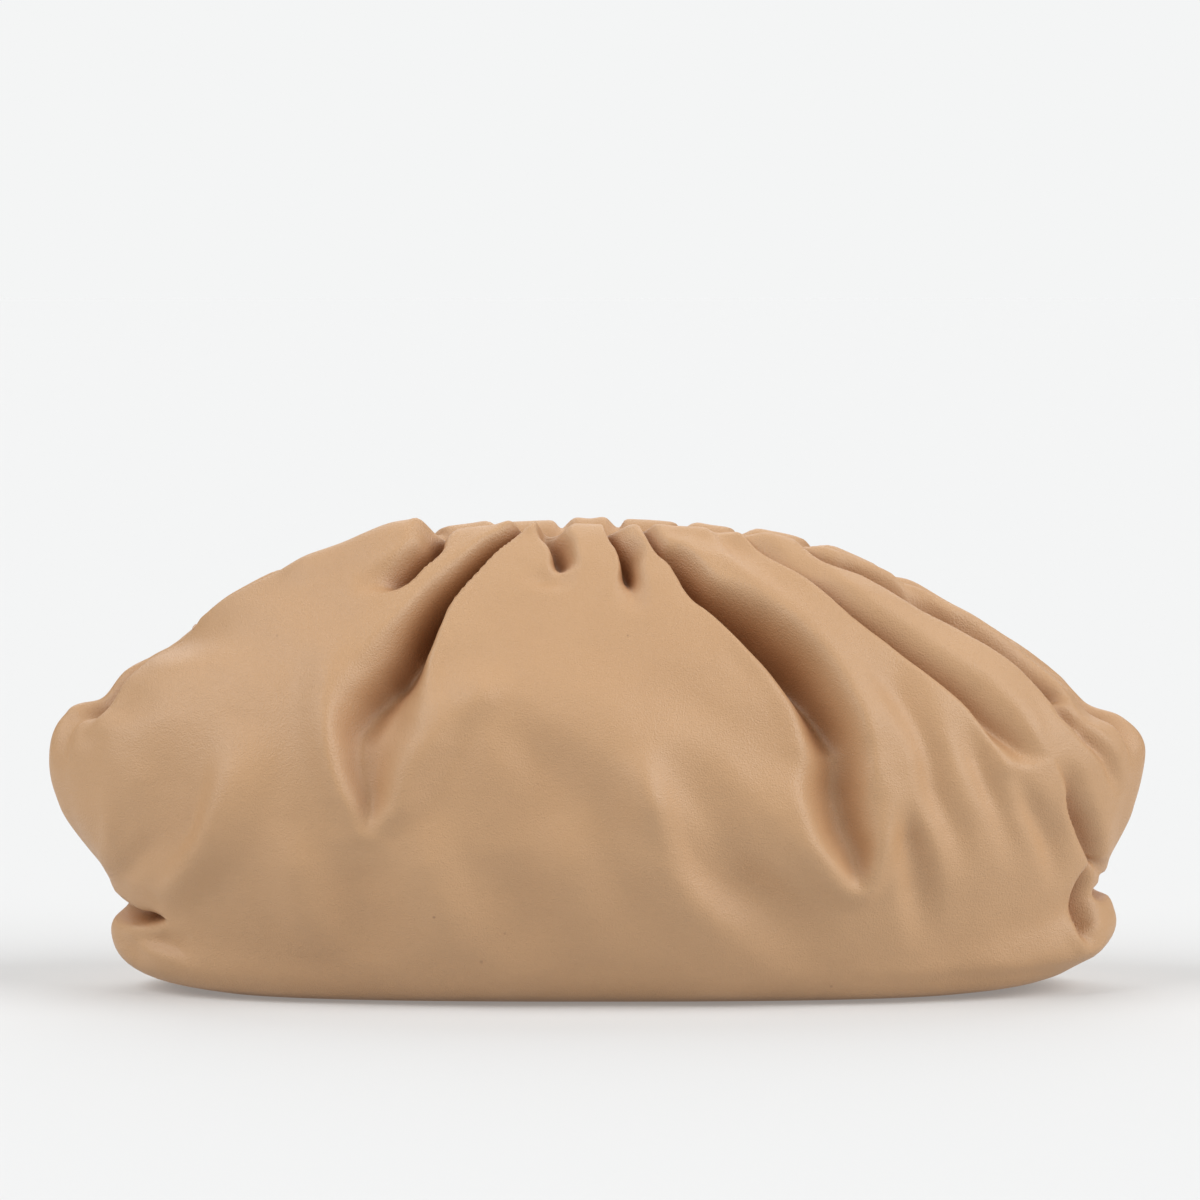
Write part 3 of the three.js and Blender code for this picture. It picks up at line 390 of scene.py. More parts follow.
    fold("back_hollow", "back", soft=1, stops=[
        (-62, 50, 0, 100, 100), (-60, 38, 30, 125, 125), (-57, 26, 28, 125, 125), (-55, 14, 0, 117, 117),
    ]),
    fold("back_ripple", "back", soft=1, stops=[
        (52, 46, 0, 75, 75), (50, 34, 25, 100, 100), (49, 22, 22, 100, 100), (48, 10, 0, 100, 100),
    ]),
    fold("back_dimple", "back", soft=1, stops=[
        (-84, 50, 0, 67, 67), (-80, 38, 25, 83, 83), (-75, 26, 20, 83, 83), (-70, 16, 0, 83, 83),
    ]),
    fold("right_end_1", "right", soft=0.8, lift=0.05, pleat=True, stops=[
        (-8, 72, 25, 33, 33), (-11, 66, 50, 42, 50), (-17, 57, 42, 50, 67), (-25, 47, 0, 58, 67),
    ]),
    fold("right_end_2", "right", soft=0.8, lift=0.05, pleat=True, stops=[
        (12, 72, 25, 33, 33), (17, 65, 50, 50, 42), (25, 55, 42, 67, 50), (34, 43, 0, 67, 58),
    ]),
    fold("right_end_3", "right", soft=1, lift=0.03, stops=[
        (36, 74, 0, 50, 50), (42, 64, 30, 67, 67), (48, 52, 28, 75, 75), (52, 38, 0, 75, 75),
    ]),
    fold("left_end_1", "left", soft=0.8, lift=0.05, pleat=True, stops=[
        (-10, 73, 25, 33, 33), (-14, 67, 50, 50, 42), (-20, 58, 38, 67, 50), (-28, 48, 0, 67, 58),
    ]),
    fold("left_end_2", "left", soft=0.8, lift=0.05, pleat=True, stops=[
        (12, 73, 25, 33, 33), (18, 66, 50, 42, 50), (27, 57, 42, 50, 67), (37, 45, 0, 58, 67),
    ]),
    fold("left_end_3", "left", soft=1, lift=0.03, stops=[
        (38, 76, 0, 50, 50), (46, 66, 30, 67, 67), (52, 54, 28, 75, 75), (56, 40, 0, 75, 75),
    ]),
    fold("centre_lobe", "front", soft=1, stops=[
        (-18, 99, 0, 58, 58), (-15, 100, -22, 75, 75), (-11, 100, -22, 75, 75), (-8, 99, 0, 50, 50),
    ]),
    fold("right_heel", "right", soft=1, stops=[
        (-75, 5, 0, 50, 50), (-40, 5, 25, 67, 58), (0, 5, 33, 67, 58), (40, 5, 25, 67, 58),
        (75, 5, 0, 50, 50),
    ]),
]

# Tiny marks on the front: along and up in millimetres, radius, and darkness
MARKS = [
    (-56, 33, 0.7, 0.55), (-40, 17, 0.9, 0.35), (-32, 27, 0.7, 0.3), (10, 128, 0.5, 0.4),
    (80, 7, 0.8, 0.3), (-111, 127, 0.6, 0.3),
]

frame_half = FRAME_LENGTH / 2
frame_crown = BAG_HEIGHT - CREST_RISE
slot_half = JAW_GAP / 2 + JAW_THICKNESS + SEAT_GAP


def smooth(value):
    x = np.clip(value, 0, 1)
    return x * x * (3 - 2 * x)


def frame_top(x):
    """Height of the jaws' top edge."""
    return frame_crown - FRAME_ARCH * abs(x / frame_half) ** ARCH_POWER


# The smooth bag


def mouth_section(name, share, rows):
    middle = frame_crown - JAW_HEIGHT * (1 - share)
    return dict(
        name=name, left=frame_half + SEAT_GAP, right=frame_half + SEAT_GAP, front=slot_half,
        back=slot_half, middle=middle, left_end=middle - FRAME_ARCH,
        right_end=middle - FRAME_ARCH, bow=ARCH_POWER, square=40, fan=0.6, give=0, rows=rows,
    )


def between(start, end, row):
    """The section that a row of a table describes, between two known ones."""
    def mixed(key, share):
        return start[key] + (end[key] - start[key]) * share

    return dict(
        row, left=mixed("left", row["left"]), right=mixed("right", row["right"]),
        front=mixed("front", row["depth"]), back=mixed("back", row["depth"]),
        middle=mixed("middle", row["drop"]), left_end=mixed("left_end", row["left_drop"]),
        right_end=mixed("right_end", row["right_drop"]),
    )


def all_sections():
    crest = dict(
        name="crest", left=frame_half + CREST_ROLL, right=frame_half + CREST_ROLL,
        front=slot_half + CREST_ROLL, back=slot_half + CREST_ROLL, middle=BAG_HEIGHT,
        left_end=BAG_HEIGHT - FRAME_ARCH + LEFT_RISE, right_end=BAG_HEIGHT - FRAME_ARCH,
        bow=ARCH_POWER, square=6, fan=0.6, give=0.6, rows=14,
    )
    belly = dict(
        name="belly", left=BAG_WIDTH / 2, right=BAG_WIDTH / 2, front=FRONT_DEPTH,
        back=BACK_DEPTH, middle=BELLY_HEIGHT, left_end=TIP_HEIGHT, right_end=TIP_HEIGHT,
        bow=2.4, square=2.1, fan=0, give=1, rows=20,
    )
    base = dict(
        name="base", left=BASE_LENGTH / 2, right=BASE_LENGTH / 2, front=BASE_DEPTH / 2,
        back=BASE_DEPTH / 2, middle=0, left_end=0, right_end=0, bow=2, square=2.6, fan=0,
        give=0, rows=0,
    )
    upper = [between(crest, belly, row) for row in UPPER_SECTIONS]
    lower = [between(belly, base, row) for row in LOWER_SECTIONS]
    edge = mouth_section("edge", share=0, rows=4)
    lip = mouth_section("lip", share=1, rows=8)
    return [edge, lip, crest, *upper, belly, *lower, base]


sections = all_sections()
last_section = len(sections) - 1
crest_index = [section["name"] for section in sections].index("crest")
belly_index = [section["name"] for section in sections].index("belly")


def outline(section, angle):
    """Points of one section at an array of angles, from the right end round the back."""
    turn = np.cos(angle)
    along = turn * (1 - section["fan"] * (1 - abs(turn)))
    is_left = along < 0
    depth = np.where(np.sin(angle) < 0, -section["front"], section["back"])
    square = section["square"]
    x = along * np.where(is_left, section["left"], section["right"])
    y = depth * np.maximum(0, 1 - abs(along) ** square) ** (1 / square)
    end = np.where(is_left, section["left_end"], section["right_end"])
    z = section["middle"] + (end - section["middle"]) * abs(along) ** section["bow"]
    return np.stack([x, y, z], axis=-1)


def control_points(angle):
    """The outlines as a B-spline's control points, set out so that it runs through them."""
    through = np.stack([outline(section, angle) for section in sections])
    control = through.copy()
    moved = slice(crest_index, last_section)
    beside = through[crest_index - 1:last_section - 1] + through[crest_index + 1:last_section + 1]
    control[moved] = through[moved] * 4 / 3 - beside / 6
    before = 2 * control[0] - control[1]
    after = 2 * control[-1] - control[-2]
    return np.concatenate([before[None], control, after[None]])


def spline_weights(share):
    rest = 1 - share
    return [
        rest**3 / 6,
        (3 * share**3 - 6 * share**2 + 4) / 6,
        (3 * rest**3 - 6 * rest**2 + 4) / 6,
        share**3 / 6,
    ]


def smooth_grid(angles, downs):
    """The smooth bag at each angle (columns) and each place down it (rows)."""
    control = control_points(angles)
    first = np.minimum(np.floor(downs).astype(int), last_section - 1)
    weights = spline_weights(downs - first)
    return sum(w[:, None, None] * control[first + k] for k, w in enumerate(weights))


def smooth_points(angles, downs):
    """The smooth bag at pairs of an angle and a place down."""
    control = control_points(angles)
    downs = np.clip(downs, 0, last_section)
    first = np.minimum(np.floor(downs).astype(int), last_section - 1)
    weights = spline_weights(downs - first)
    here = np.arange(len(angles))
    return sum(w[:, None] * control[first + k, here] for k, w in enumerate(weights))


def unit(vectors):
    return vectors / np.maximum(np.linalg.norm(vectors, axis=-1, keepdims=True), 1e-9)


def smooth_normals(angles, downs):
    step = NORMAL_STEP
    round_it = smooth_grid(angles + step, downs) - smooth_grid(angles - step, downs)
    below = np.minimum(downs + step, last_section)
    down_it = smooth_grid(angles, below) - smooth_grid(angles, np.maximum(downs - step, 0))
    return unit(np.cross(down_it, round_it))


def column_angles(count):
    """Angles that space the columns round the belly, closer together at the front."""
    samples = np.linspace(0, 2 * math.pi, count * 8 + 1)
    ring = outline(sections[belly_index], samples)
    closeness = 1 - FRONT_CLOSENESS * np.sin(samples[1:])
    steps = np.linalg.norm(np.diff(ring, axis=0), axis=1) * closeness
    lengths = np.concatenate([[0], np.cumsum(steps)])
    return np.interp(np.arange(count) * lengths[-1] / count, lengths, samples)


def row_places():
    """How far down each row lies, counted in sections."""
    places = [0.0]
    for index, section in enumerate(sections):
        places += [index + (row + 1) / section["rows"] for row in range(section["rows"])]
    return np.array(places)


# Folds


def seen_height(points):
    """Height as it is seen from a little above the front or the back."""
    outward = BASE_DEPTH / 2 - abs(points[..., 1])
    return points[..., 2] * math.cos(VIEW_TILT) + outward * math.sin(VIEW_TILT)


def inside_face(face, points):
    """How far points lie inside the half of the bag that a face shows."""
    axis, sign = {"front": (1, -1), "back": (1, 1), "left": (0, -1), "right": (0, 1)}[face]
    return points[..., axis] * sign


def find_places(lattice, face, stops):
    """The angle and the place down of each stop, where the side that face names shows it."""
    angles, downs, points = lattice
    shown = inside_face(face, points) > 0
    if face in ("front", "back"):
        across, up, scale = points[..., 0], seen_height(points), BAG_WIDTH / 2
    else:
        across, up, scale = points[..., 1], points[..., 2], FRONT_DEPTH
    found = []
    for stop in stops:
        gap = np.hypot(across - stop[0] * scale, up - stop[1] * BAG_HEIGHT)
        gap[~shown] = np.inf
        row, column = np.unravel_index(np.argmin(gap), gap.shape)
        found.append((angles[column], downs[row]))
    return np.array(found)


def catmull_rom(points, shares):
    """A Catmull-Rom curve through points, at shares of its length from 0 to 1."""
    padded = np.concatenate([[2 * points[0] - points[1]], points, [2 * points[-1] - points[-2]]])
    place = np.clip(shares * (len(points) - 1), 0, len(points) - 1 - 1e-9)
    k = np.floor(place).astype(int)
    t = (place - k)[:, None]
    p0, p1, p2, p3 = padded[k], padded[k + 1], padded[k + 2], padded[k + 3]
    bend = 2 * p0 - 5 * p1 + 4 * p2 - p3
    return 0.5 * (2 * p1 + (p2 - p0) * t + bend * t**2 + (3 * (p1 - p2) + p3 - p0) * t**3)


def fold_line(lattice, row):
    """Points on the smooth bag down the fold of one row, with its depth and widths at each."""
    places = find_places(lattice, row["face"], row["stops"])
    sizes = np.array([stop[2:] for stop in row["stops"]], float)
    if row["face"] == "right":
        # The right end's angles lie on both sides of zero, so none is left near a full turn
        places[:, 0] = np.where(places[:, 0] > math.pi, places[:, 0] - 2 * math.pi, places[:, 0])
    if row["pleat"]:
        places = np.concatenate([[[places[0, 0], 0]], places])
        sizes = np.concatenate([sizes[:1], sizes])
    shares = np.linspace(0, 1, LINE_STEPS + 1)
    curve = catmull_rom(places, shares)
    knots = np.linspace(0, 1, len(sizes))
    along = np.stack([np.interp(shares, knots, sizes[:, k]) for k in range(3)], axis=1)
    return smooth_points(curve[:, 0], curve[:, 1]), along


def nearest_on_line(line, points):
    """For each point: the step from the line to it, the line's step there, and the place."""
    best_gap = np.full(len(points), np.inf)
    offsets = np.zeros_like(points)
    steps = np.zeros_like(points)
    places = np.zeros(len(points))
    for k in range(len(line) - 1):
        step = line[k + 1] - line[k]
        offset = points - line[k]
        share = np.clip(offset @ step / (step @ step), 0, 1)
        offset = offset - share[:, None] * step
        gap = np.einsum("ij,ij->i", offset, offset)
        nearer = gap < best_gap
        best_gap[nearer] = gap[nearer]
        offsets[nearer] = offset[nearer]
        steps[nearer] = step
        places[nearer] = k + share[nearer]
    return np.sqrt(best_gap), offsets, steps, places


def fold_shift(row, line, sizes, points, normals):
    """How far the fold of one row moves points of the smooth bag outwards, and sideways."""
    outwards = np.zeros(len(points))
    sideways = np.zeros_like(points)
    showing = smooth(0.5 + inside_face(row["face"], points) / FADE)
    reach_box = LIP_REACH * FOLD_WIDTH * sizes[:, 1:].max()
    near = (showing > 0) & np.all(points > line.min(0) - reach_box, axis=1)
    near &= np.all(points < line.max(0) + reach_box, axis=1)
    gap, offsets, steps, places = nearest_on_line(line, points[near])
    size = np.stack([np.interp(places, np.arange(len(sizes)), sizes[:, k]) for k in range(3)])
    on_left = np.einsum("ij,ij->i", np.cross(steps, normals[near]), offsets) > 0
    reach = gap / (FOLD_WIDTH * np.where(on_left, size[1], size[2]))
    valley = np.maximum(1 - reach, 0) ** 2 * (1 + 2 * row["soft"] * reach)
    bank = smooth(np.where(reach < 1, reach, 2 - reach)) * np.minimum(1, abs(size[0]) * BANK_GROWTH)
    if row["lip"]:
        side, lean, length = row["lip"]
        past_end = (places / LINE_STEPS - length) / LIP_FADE
        lip = (1 - smooth(past_end + 0.5)) * (on_left == (side == "left"))
        valley += lip * (np.maximum(1 - reach**2, 0) - valley)
        beyond = (reach - 1) / (LIP_REACH - 1)
        over = smooth(reach) * (1 - smooth(beyond)) * lip * showing[near]
        towards = -offsets / np.maximum(gap, 1e-6)[:, None]
        sideways[near] = towards * (FOLD_WIDTH * lean * over)[:, None]
        bank *= 1 - lip
    outwards[near] = FOLD_DEPTH * (row["lift"] * bank - size[0] * valley) * showing[near]
    return outwards, sideways


def smoothed(grid, times):
    """A grid whose points are drawn towards their neighbours', apart from its first and last rows."""
    for _ in range(times):
        beside = (np.roll(grid, 1, axis=1) + np.roll(grid, -1, axis=1)) / 2
        above_below = (grid[:-2] + grid[2:]) / 2
        grid = grid.copy()
        grid[1:-1] += ((beside[1:-1] + above_below) / 2 - grid[1:-1]) / 2
    return grid


def unevenness(points):
    """Small random swells of the leather, in millimetres: the same on every run."""
    swells = []
    for size, height in SWELLS:
        places = (points / size).tolist()
        swells.append(height * np.array([noise.noise(place) for place in places]))
    return sum(swells)


def folded_grid(angles, downs):
    """The outside of the leather with its folds."""
    lattice_angles = column_angles(COLUMNS)
    lattice_downs = np.arange(crest_index, last_section + 0.001, LATTICE_STEP)
    lattice = (lattice_angles, lattice_downs, smooth_grid(lattice_angles, lattice_downs))
    base = smooth_grid(angles, downs)
    normals = smooth_normals(angles, downs)
    points = base.reshape(-1, 3)
    flat_normals = normals.reshape(-1, 3)
    shift = np.zeros_like(points)
    for row in FOLDS:
        line, sizes = fold_line(lattice, row)
        outwards, sideways = fold_shift(row, line, sizes, points, flat_normals)
        shift += flat_normals * outwards[:, None] + sideways
    shift += flat_normals * unevenness(points)[:, None]
    give = np.interp(downs, np.arange(len(sections)), [section["give"] for section in sections])
    grid = base + shift.reshape(base.shape) * give[:, None, None]
    grid = smoothed(grid, SMOOTHINGS)
    grid[..., 2] = np.maximum(grid[..., 2], 0)
    return grid, normals


def wall_inside(outer, normals):
    """The outside moved in by the wall, and by more on steep banks, up to a limit."""
    steepest = 0.6
    down_it = np.gradient(outer, axis=0)
    round_it = np.roll(outer, -1, axis=1) - np.roll(outer, 1, axis=1)
    steep = np.einsum("ijk,ijk->ij", unit(np.cross(down_it, round_it)), normals)
    return outer - normals * (LEATHER / np.maximum(steep, steepest))[..., None]


# Meshes


def bag_shift():
    """Where the CAD bag stands: the part centres its box over the origin."""
    lowest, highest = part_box("frame_jaw_front")
    middle = (lowest + highest) / 2 / MM
    return np.array([middle.x, middle.y + (JAW_GAP + JAW_THICKNESS) / 2, 0])


def new_object(name, points, faces):
    mesh = bpy.data.meshes.new(name)
    mesh.from_pydata((np.asarray(points) * MM).tolist(), [], faces)
    mesh.validate()
    mesh.polygons.foreach_set("use_smooth", [True] * len(mesh.polygons))
    piece = bpy.data.objects.new(name, mesh)
    bpy.context.scene.collection.objects.link(piece)
    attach(piece, "root")
    return piece


def ring_faces(rows, columns, start, flip):
    """Four-sided faces of a grid that closes round its columns."""
    row, column = np.meshgrid(np.arange(rows - 1), np.arange(columns), indexing="ij")
    here = start + row * columns + column
    beside = start + row * columns + (column + 1) % columns
    corners = [here, here + columns, beside + columns, beside]
    if flip:
        corners.reverse()
    return np.stack([c.ravel() for c in corners], axis=1).tolist()


def leather_body():
    angles = column_angles(COLUMNS)
    downs = row_places()
    outer, normals = folded_grid(angles, downs)
    kept_rows = np.unique(np.append(np.arange(0, len(downs), INSIDE_STEP), len(downs) - 1))
    inner = wall_inside(outer, normals)[kept_rows][:, ::INSIDE_STEP]
    rows, columns = outer.shape[:2]
    inner_rows, inner_columns = inner.shape[:2]
    inside = rows * columns
    points = np.concatenate([outer.reshape(-1, 3), inner.reshape(-1, 3), [[0, 0, 0], [0, 0, LEATHER]]])
    underside = len(points) - 2
    faces = ring_faces(rows, columns, 0, False)
    faces += ring_faces(inner_rows, inner_columns, inside, True)
    last_outer = (rows - 1) * columns
    last_inner = inside + (inner_rows - 1) * inner_columns
    for column in range(columns):
        faces.append([underside, last_outer + (column + 1) % columns, last_outer + column])
    for column in range(inner_columns):
        after = (column + 1) % inner_columns
        faces.append([underside + 1, last_inner + column, last_inner + after])
        edge = [(column * INSIDE_STEP + k) % columns for k in range(INSIDE_STEP + 1)]
        faces.append([*edge, inside + after, inside + column])
    points = points + bag_shift()
    body = new_object("leather_body_skin", points, faces)
    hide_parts("leather_body")
    return body


def closed_tube(name, rings):
    """A solid from rings of points, one after another, with its two ends filled."""
    rings = np.asarray(rings)
    rows, columns = rings.shape[:2]
    points = rings.reshape(-1, 3) + bag_shift()
    faces = ring_faces(rows, columns, 0, False)
    faces.append(list(range(columns)))
    faces.append(list(range((rows - 1) * columns, rows * columns))[::-1])
    return new_object(name, points, faces)


def rounded_bar_ring(half_width, half_height, rounding, count=28):
    """A rectangle with round corners, as points across and up."""
    angle = np.linspace(0, 2 * math.pi, count, endpoint=False) + math.pi / count
    corner = np.stack([np.sign(np.cos(angle)), np.sign(np.sin(angle))], axis=1)
    arc = np.stack([np.cos(angle), np.sin(angle)], axis=1)
    inner = np.array([half_width - rounding, half_height - rounding])
    return corner * inner + arc * rounding


def jaw(name, node, side):
    """One arched bar in its leather cover, with the cover's small puckers and turned ends."""
    half = frame_half - HINGE_LENGTH - SEAT_GAP
    middle_y = side * (JAW_GAP + JAW_THICKNESS) / 2
    end_length = JAW_ROUNDING
    end_narrowing = 0.6 * end_length
    end_turns = np.linspace(0.15, math.pi / 2, JAW_END_STATIONS)
    xs = np.concatenate([
        -half + end_length * (1 - np.cos(end_turns)),
        np.linspace(-half + end_length, half - end_length, JAW_STATIONS)[1:-1],
        half - end_length * (1 - np.cos(end_turns[::-1])),
    ])
    rings = []
    for x in xs:
        inset = max(0, abs(x) - (half - end_length)) / end_length
        narrowing = end_narrowing * (1 - math.sqrt(1 - inset**2))
        pucker = 0.1 * math.sin(x * 0.9) * math.sin(x * 0.31 + side)
        ring = rounded_bar_ring(
            JAW_THICKNESS / 2 - narrowing, JAW_HEIGHT / 2 - narrowing, JAW_ROUNDING - narrowing,
        )
        ring *= 1 + pucker * np.array([0.2, 0.1])
        across = np.clip(ring[:, 0], -JAW_THICKNESS / 2, JAW_THICKNESS / 2)
        up = np.minimum(ring[:, 1], JAW_HEIGHT / 2)
        height = frame_top(x) - JAW_HEIGHT / 2
        rings.append(np.stack([np.full(len(ring), x), middle_y + across, height + up], axis=1))
    piece = closed_tube(name, rings)
    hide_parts(node)
    return piece


def hinge(name, node, side):
    """A barrel of knuckles on a pin with domed ends, turned about its length."""
    middle_x = side * (frame_half - HINGE_LENGTH / 2)
    middle_z = frame_top(middle_x) - JAW_HEIGHT / 2
    dome_length = 1.2
    dome_points = [(0, 0.8), (0.25, 1.9), (dome_length - 0.1, 2.6)]
    profile = [(-HINGE_LENGTH / 2 + inwards, radius) for inwards, radius in dome_points]
    body_length = HINGE_LENGTH - 2 * dome_length
    for knuckle in range(KNUCKLES):
        start = -body_length / 2 + body_length / KNUCKLES * knuckle
        end = start + body_length / KNUCKLES
        gap = KNUCKLE_GROOVE / 2
        profile += [(start, HINGE_RADIUS - 2 * gap), (start + gap, HINGE_RADIUS - gap / 2)]
        profile += [(start + 2 * gap, HINGE_RADIUS), (end - 2 * gap, HINGE_RADIUS)]
        profile += [(end - gap, HINGE_RADIUS - gap / 2), (end - 0.01, HINGE_RADIUS - 2 * gap)]
    profile += [(-x, radius) for x, radius in profile[2::-1]]
    angle = np.linspace(0, 2 * math.pi, HINGE_SIDES, endpoint=False)
    rings = []
    for x, radius in profile:
        along = np.full(HINGE_SIDES, middle_x + x)
        ring = [along, radius * np.cos(angle), middle_z + radius * np.sin(angle)]
        rings.append(np.stack(ring, axis=1))
    piece = closed_tube(name, rings)
    bevel = piece.modifiers.new("edges", "BEVEL")
    bevel.width = HINGE_BEVEL * MM
    bevel.segments = 2
    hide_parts(node)
    return piece


# Materials


def new_material(name):
    material = bpy.data.materials.new(name)
    material.use_nodes = True
    nodes = material.node_tree.nodes
    return material, nodes, material.node_tree.links, nodes["Principled BSDF"]


def add_noise(nodes, links, coordinates, scale, detail, roughness=0.5):
    texture = nodes.new("ShaderNodeTexNoise")
    texture.inputs["Scale"].default_value = scale
    texture.inputs["Detail"].default_value = detail
    texture.inputs["Roughness"].default_value = roughness
    links.new(coordinates, texture.inputs["Vector"])
    return texture


def add_bump(nodes, links, height, strength, distance, normal=None):
    bump = nodes.new("ShaderNodeBump")
    bump.inputs["Strength"].default_value = strength
    bump.inputs["Distance"].default_value = distance
    links.new(height, bump.inputs["Height"])
    if normal:
        links.new(normal, bump.inputs["Normal"])
    return bump.outputs["Normal"]


def add_ramp(nodes, links, value, stops):
    """A colour ramp from (position, colour) pairs."""
    ramp = nodes.new("ShaderNodeValToRGB")
    ramp.color_ramp.elements[0].position, ramp.color_ramp.elements[0].color = stops[0]
    ramp.color_ramp.elements[1].position, ramp.color_ramp.elements[1].color = stops[1]
    links.new(value, ramp.inputs["Fac"])
    return ramp


def add_marks(nodes, links, coordinates, colour):
    """Darkens a few tiny marks, each a spot at a place on the leather."""
    for x, z, radius, darkness in MARKS:
        flat = nodes.new("ShaderNodeVectorMath")
        flat.operation = "MULTIPLY"
        flat.inputs[1].default_value = (1, 0, 1)
        links.new(coordinates, flat.inputs[0])
        distance = nodes.new("ShaderNodeVectorMath")
        distance.operation = "DISTANCE"
        distance.inputs[1].default_value = (x * MM, 0, z * MM)
        links.new(flat.outputs["Vector"], distance.inputs[0])
        spot = nodes.new("ShaderNodeMapRange")
        spot.inputs["From Min"].default_value = radius * MM * 0.3
        spot.inputs["From Max"].default_value = radius * MM
        spot.inputs["To Min"].default_value = darkness
        spot.inputs["To Max"].default_value = 0
        links.new(distance.outputs["Value"], spot.inputs["Value"])
        mixed = nodes.new("ShaderNodeMix")
        mixed.data_type = "RGBA"
        mixed.inputs["B"].default_value = (0.2, 0.09, 0.04, 1)
        links.new(spot.outputs["Result"], mixed.inputs["Factor"])
        links.new(colour, mixed.inputs["A"])
        colour = mixed.outputs["Result"]
    return colour


def add_painted_fold_shade(nodes, links, colour):
    """Painted shade: darkens and deepens the colour where the leather shelters itself, down in its
    folds.
    """
    shelter = nodes.new("ShaderNodeAmbientOcclusion")
    shelter.samples = 8
    shelter.only_local = True
    shelter.inputs["Distance"].default_value = 0.045
    depth = nodes.new("ShaderNodeMapRange")
    depth.inputs["From Min"].default_value = 0.88
    depth.inputs["From Max"].default_value = 0.3
    links.new(shelter.outputs["AO"], depth.inputs["Value"])
    mixed = nodes.new("ShaderNodeMix")
    mixed.data_type = "RGBA"
    mixed.blend_type = "MULTIPLY"
    # Painted shade: this warm dark tint multiplies the colour where the leather is sheltered
    mixed.inputs["B"].default_value = (0.64, 0.46, 0.32, 1)
    links.new(depth.outputs["Result"], mixed.inputs["Factor"])
    links.new(colour, mixed.inputs["A"])
    return mixed.outputs["Result"]


def leather_material(name, light, dark, marked):
    """Smooth nappa: a satin face, a fine grain, faint clouding, a few tiny marks and painted shade in
    its folds.
    """
    material, nodes, links, shader = new_material(name)
    coordinates = nodes.new("ShaderNodeTexCoord").outputs["Object"]

    clouds = add_noise(nodes, links, coordinates, scale=14, detail=4)
    tint = add_ramp(nodes, links, clouds.outputs["Fac"], [(0.3, (*dark, 1)), (0.7, (*light, 1))])
    colour = tint.outputs["Color"]
    if marked:
        colour = add_marks(nodes, links, coordinates, colour)
    # Painted shade darkens the base colour down in the folds
    links.new(add_painted_fold_shade(nodes, links, colour), shader.inputs["Base Color"])

    pebbles = nodes.new("ShaderNodeTexVoronoi")
    pebbles.inputs["Scale"].default_value = 1600
    links.new(coordinates, pebbles.inputs["Vector"])
    grain = add_noise(nodes, links, coordinates, scale=1400, detail=4, roughness=0.6)
    wrinkles = add_noise(nodes, links, coordinates, scale=130, detail=3, roughness=0.55)
    normal = add_bump(nodes, links, pebbles.outputs["Distance"], strength=0.5, distance=0.00028)
    normal = add_bump(
        nodes, links, grain.outputs["Fac"], strength=0.36, distance=0.0004, normal=normal,
    )
    normal = add_bump(
        nodes, links, wrinkles.outputs["Fac"], strength=0.05, distance=0.0012, normal=normal,
    )
    links.new(normal, shader.inputs["Normal"])

    sheen_patches = add_noise(nodes, links, coordinates, scale=60, detail=3)
    polish = nodes.new("ShaderNodeMapRange")
    polish.inputs["To Min"].default_value = 0.45
    polish.inputs["To Max"].default_value = 0.6
    links.new(sheen_patches.outputs["Fac"], polish.inputs["Value"])
    links.new(polish.outputs["Result"], shader.inputs["Roughness"])
    shader.inputs["Specular IOR Level"].default_value = 0.8
    shader.inputs["Sheen Weight"].default_value = 0.04
    shader.inputs["Sheen Roughness"].default_value = 0.4
    return material


def brass_material():
    """Satin brass with faint wear and fine turning marks."""
    material, nodes, links, shader = new_material("hinge_brass")
    coordinates = nodes.new("ShaderNodeTexCoord").outputs["Object"]
    wear = add_noise(nodes, links, coordinates, scale=300, detail=4)
    tints = [(0.35, (0.5, 0.33, 0.13, 1)), (0.65, (0.75, 0.54, 0.25, 1))]
    tint = add_ramp(nodes, links, wear.outputs["Fac"], tints)
    links.new(tint.outputs["Color"], shader.inputs["Base Color"])
    polish = nodes.new("ShaderNodeMapRange")
    polish.inputs["To Min"].default_value = 0.2
    polish.inputs["To Max"].default_value = 0.42
    links.new(wear.outputs["Fac"], polish.inputs["Value"])
    links.new(polish.outputs["Result"], shader.inputs["Roughness"])
    scratches = add_noise(nodes, links, coordinates, scale=2500, detail=2)
    normal = add_bump(nodes, links, scratches.outputs["Fac"], strength=0.1, distance=0.0001)
    links.new(normal, shader.inputs["Normal"])
    shader.inputs["Metallic"].default_value = 1
    return material


def assign(piece, material):
    piece.data.materials.clear()
    piece.data.materials.append(material)


# The studio


def add_soft_sun(name, direction, spread, strength):
    """A broad soft light from far away, which lights the whole floor evenly."""
    away = 2
    data = bpy.data.lights.new(name, "SUN")
    data.angle = math.radians(spread)
    data.energy = strength
    light = bpy.data.objects.new(name, data)
    light.rotation_euler = (-Vector(direction)).to_track_quat("-Z", "Y").to_euler()
    light.location = Vector(direction).normalized() * away
    bpy.context.scene.collection.objects.link(light)


def add_camera():
    distance = 2.0
    tilt = math.radians(3.5)
    frame_width = 0.4222
    aim = Vector((0.0005, 0.0, 0.1369))
    data = bpy.data.cameras.new("camera")
    data.sensor_width = 36
    data.lens = data.sensor_width * distance / frame_width
    camera = bpy.data.objects.new("camera", data)
    camera.location = aim + Vector((0, -math.cos(tilt), math.sin(tilt))) * distance
    camera.rotation_euler = (aim - camera.location).to_track_quat("-Z", "Y").to_euler()
    bpy.context.scene.collection.objects.link(camera)
    bpy.context.scene.camera = camera


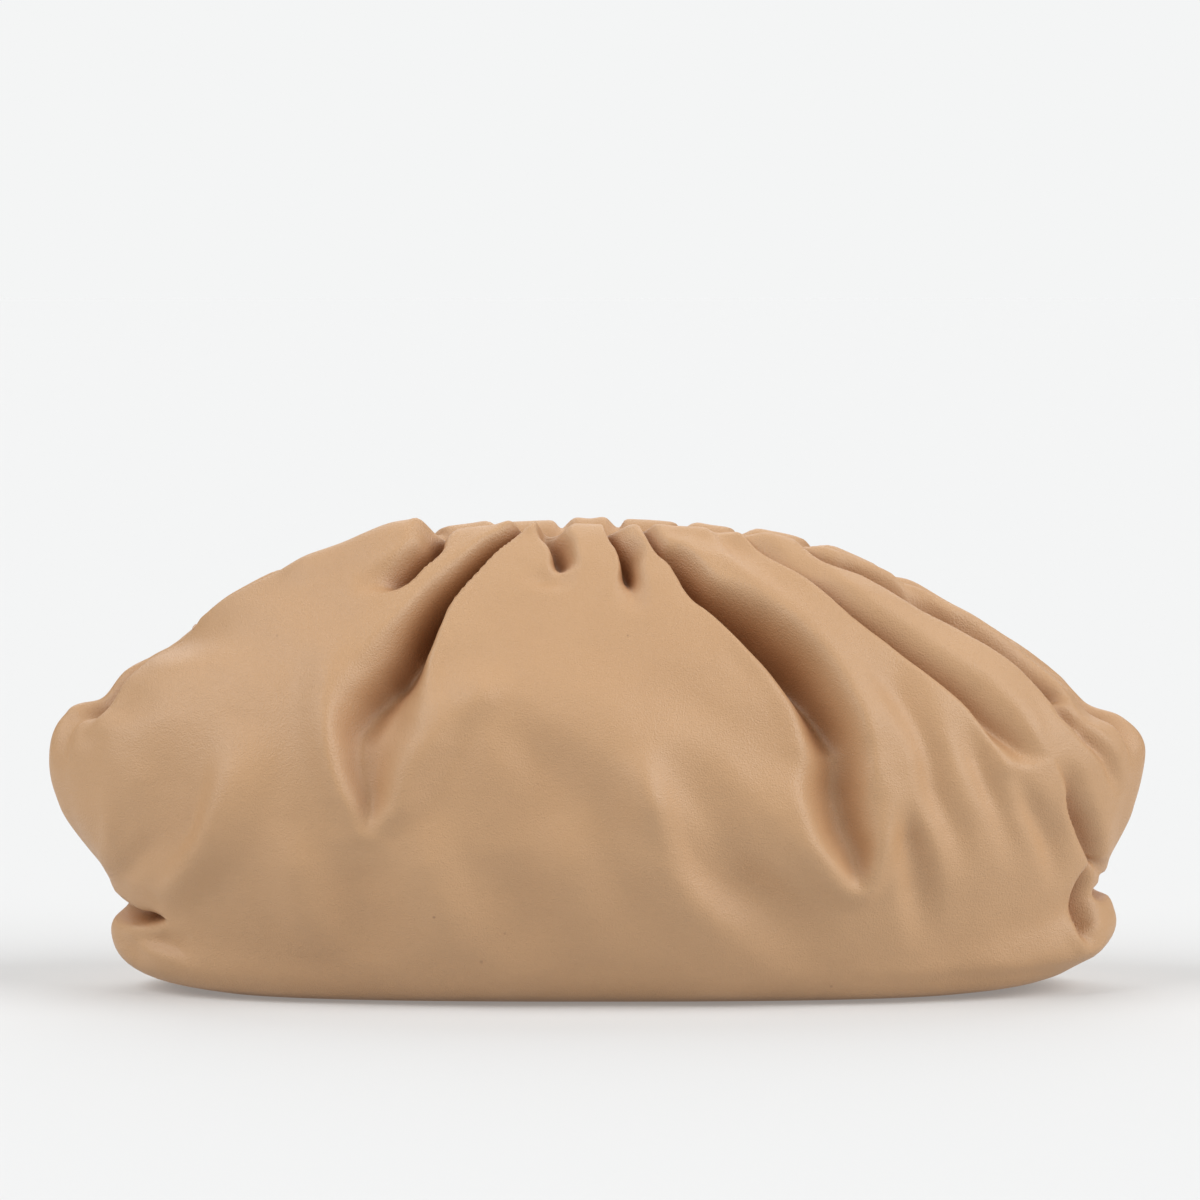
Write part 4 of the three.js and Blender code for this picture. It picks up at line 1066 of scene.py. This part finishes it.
def add_floor():
    """A wide pale floor, as bright in the light as the background is."""
    half = 30
    mesh = bpy.data.meshes.new("floor")
    corners = [(-half, -half, 0), (half, -half, 0), (half, half, 0), (-half, half, 0)]
    mesh.from_pydata(corners, [], [(0, 1, 2, 3)])
    floor = bpy.data.objects.new("floor", mesh)
    bpy.context.scene.collection.objects.link(floor)
    material, _, _, shader = new_material("floor_paper")
    shader.inputs["Base Color"].default_value = (0.538, 0.549, 0.557, 1)
    shader.inputs["Emission Color"].default_value = (1, 1, 1, 1)
    shader.inputs["Emission Strength"].default_value = 0.2
    shader.inputs["Roughness"].default_value = 0.9
    shader.inputs["Specular IOR Level"].default_value = 0.1
    assign(floor, material)


def add_world():
    """Even room light, dimmer than the pale background that is seen."""
    world = bpy.data.worlds.new("studio")
    world.use_nodes = True
    nodes = world.node_tree.nodes
    links = world.node_tree.links
    room = nodes["Background"]
    room.inputs["Color"].default_value = (1, 0.94, 0.86, 1)
    room.inputs["Strength"].default_value = 0.2
    seen = nodes.new("ShaderNodeBackground")
    seen.inputs["Color"].default_value = (0.905, 0.913, 0.913, 1)
    light_path = nodes.new("ShaderNodeLightPath")
    mixed = nodes.new("ShaderNodeMixShader")
    links.new(light_path.outputs["Is Camera Ray"], mixed.inputs["Fac"])
    links.new(room.outputs["Background"], mixed.inputs[1])
    links.new(seen.outputs["Background"], mixed.inputs[2])
    links.new(mixed.outputs["Shader"], nodes["World Output"].inputs["Surface"])
    bpy.context.scene.world = world


def add_studio():
    add_camera()
    add_floor()
    add_world()
    add_soft_sun("left_light", direction=(-0.95, -0.45, 0.92), spread=45, strength=1.88)
    add_soft_sun("right_light", direction=(1.1, -0.48, 0.85), spread=45, strength=2.3)
    add_soft_sun("top_light", direction=(0, 1, 1), spread=60, strength=1.25)
    bpy.context.scene.view_settings.view_transform = "Standard"


body_leather = leather_material(
    "body_leather", light=(0.53, 0.312, 0.155), dark=(0.5, 0.288, 0.14), marked=True,
)
frame_leather = leather_material(
    "frame_leather", light=(0.46, 0.26, 0.13), dark=(0.4, 0.22, 0.11), marked=False,
)
hinge_brass = brass_material()
assign(leather_body(), body_leather)
assign(jaw("jaw_cover_front", "frame_jaw_front", -1), frame_leather)
assign(jaw("jaw_cover_back", "frame_jaw_back", 1), frame_leather)
assign(hinge("hinge_knuckles_left", "frame_hinge_left", -1), hinge_brass)
assign(hinge("hinge_knuckles_right", "frame_hinge_right", 1), hinge_brass)
add_studio()
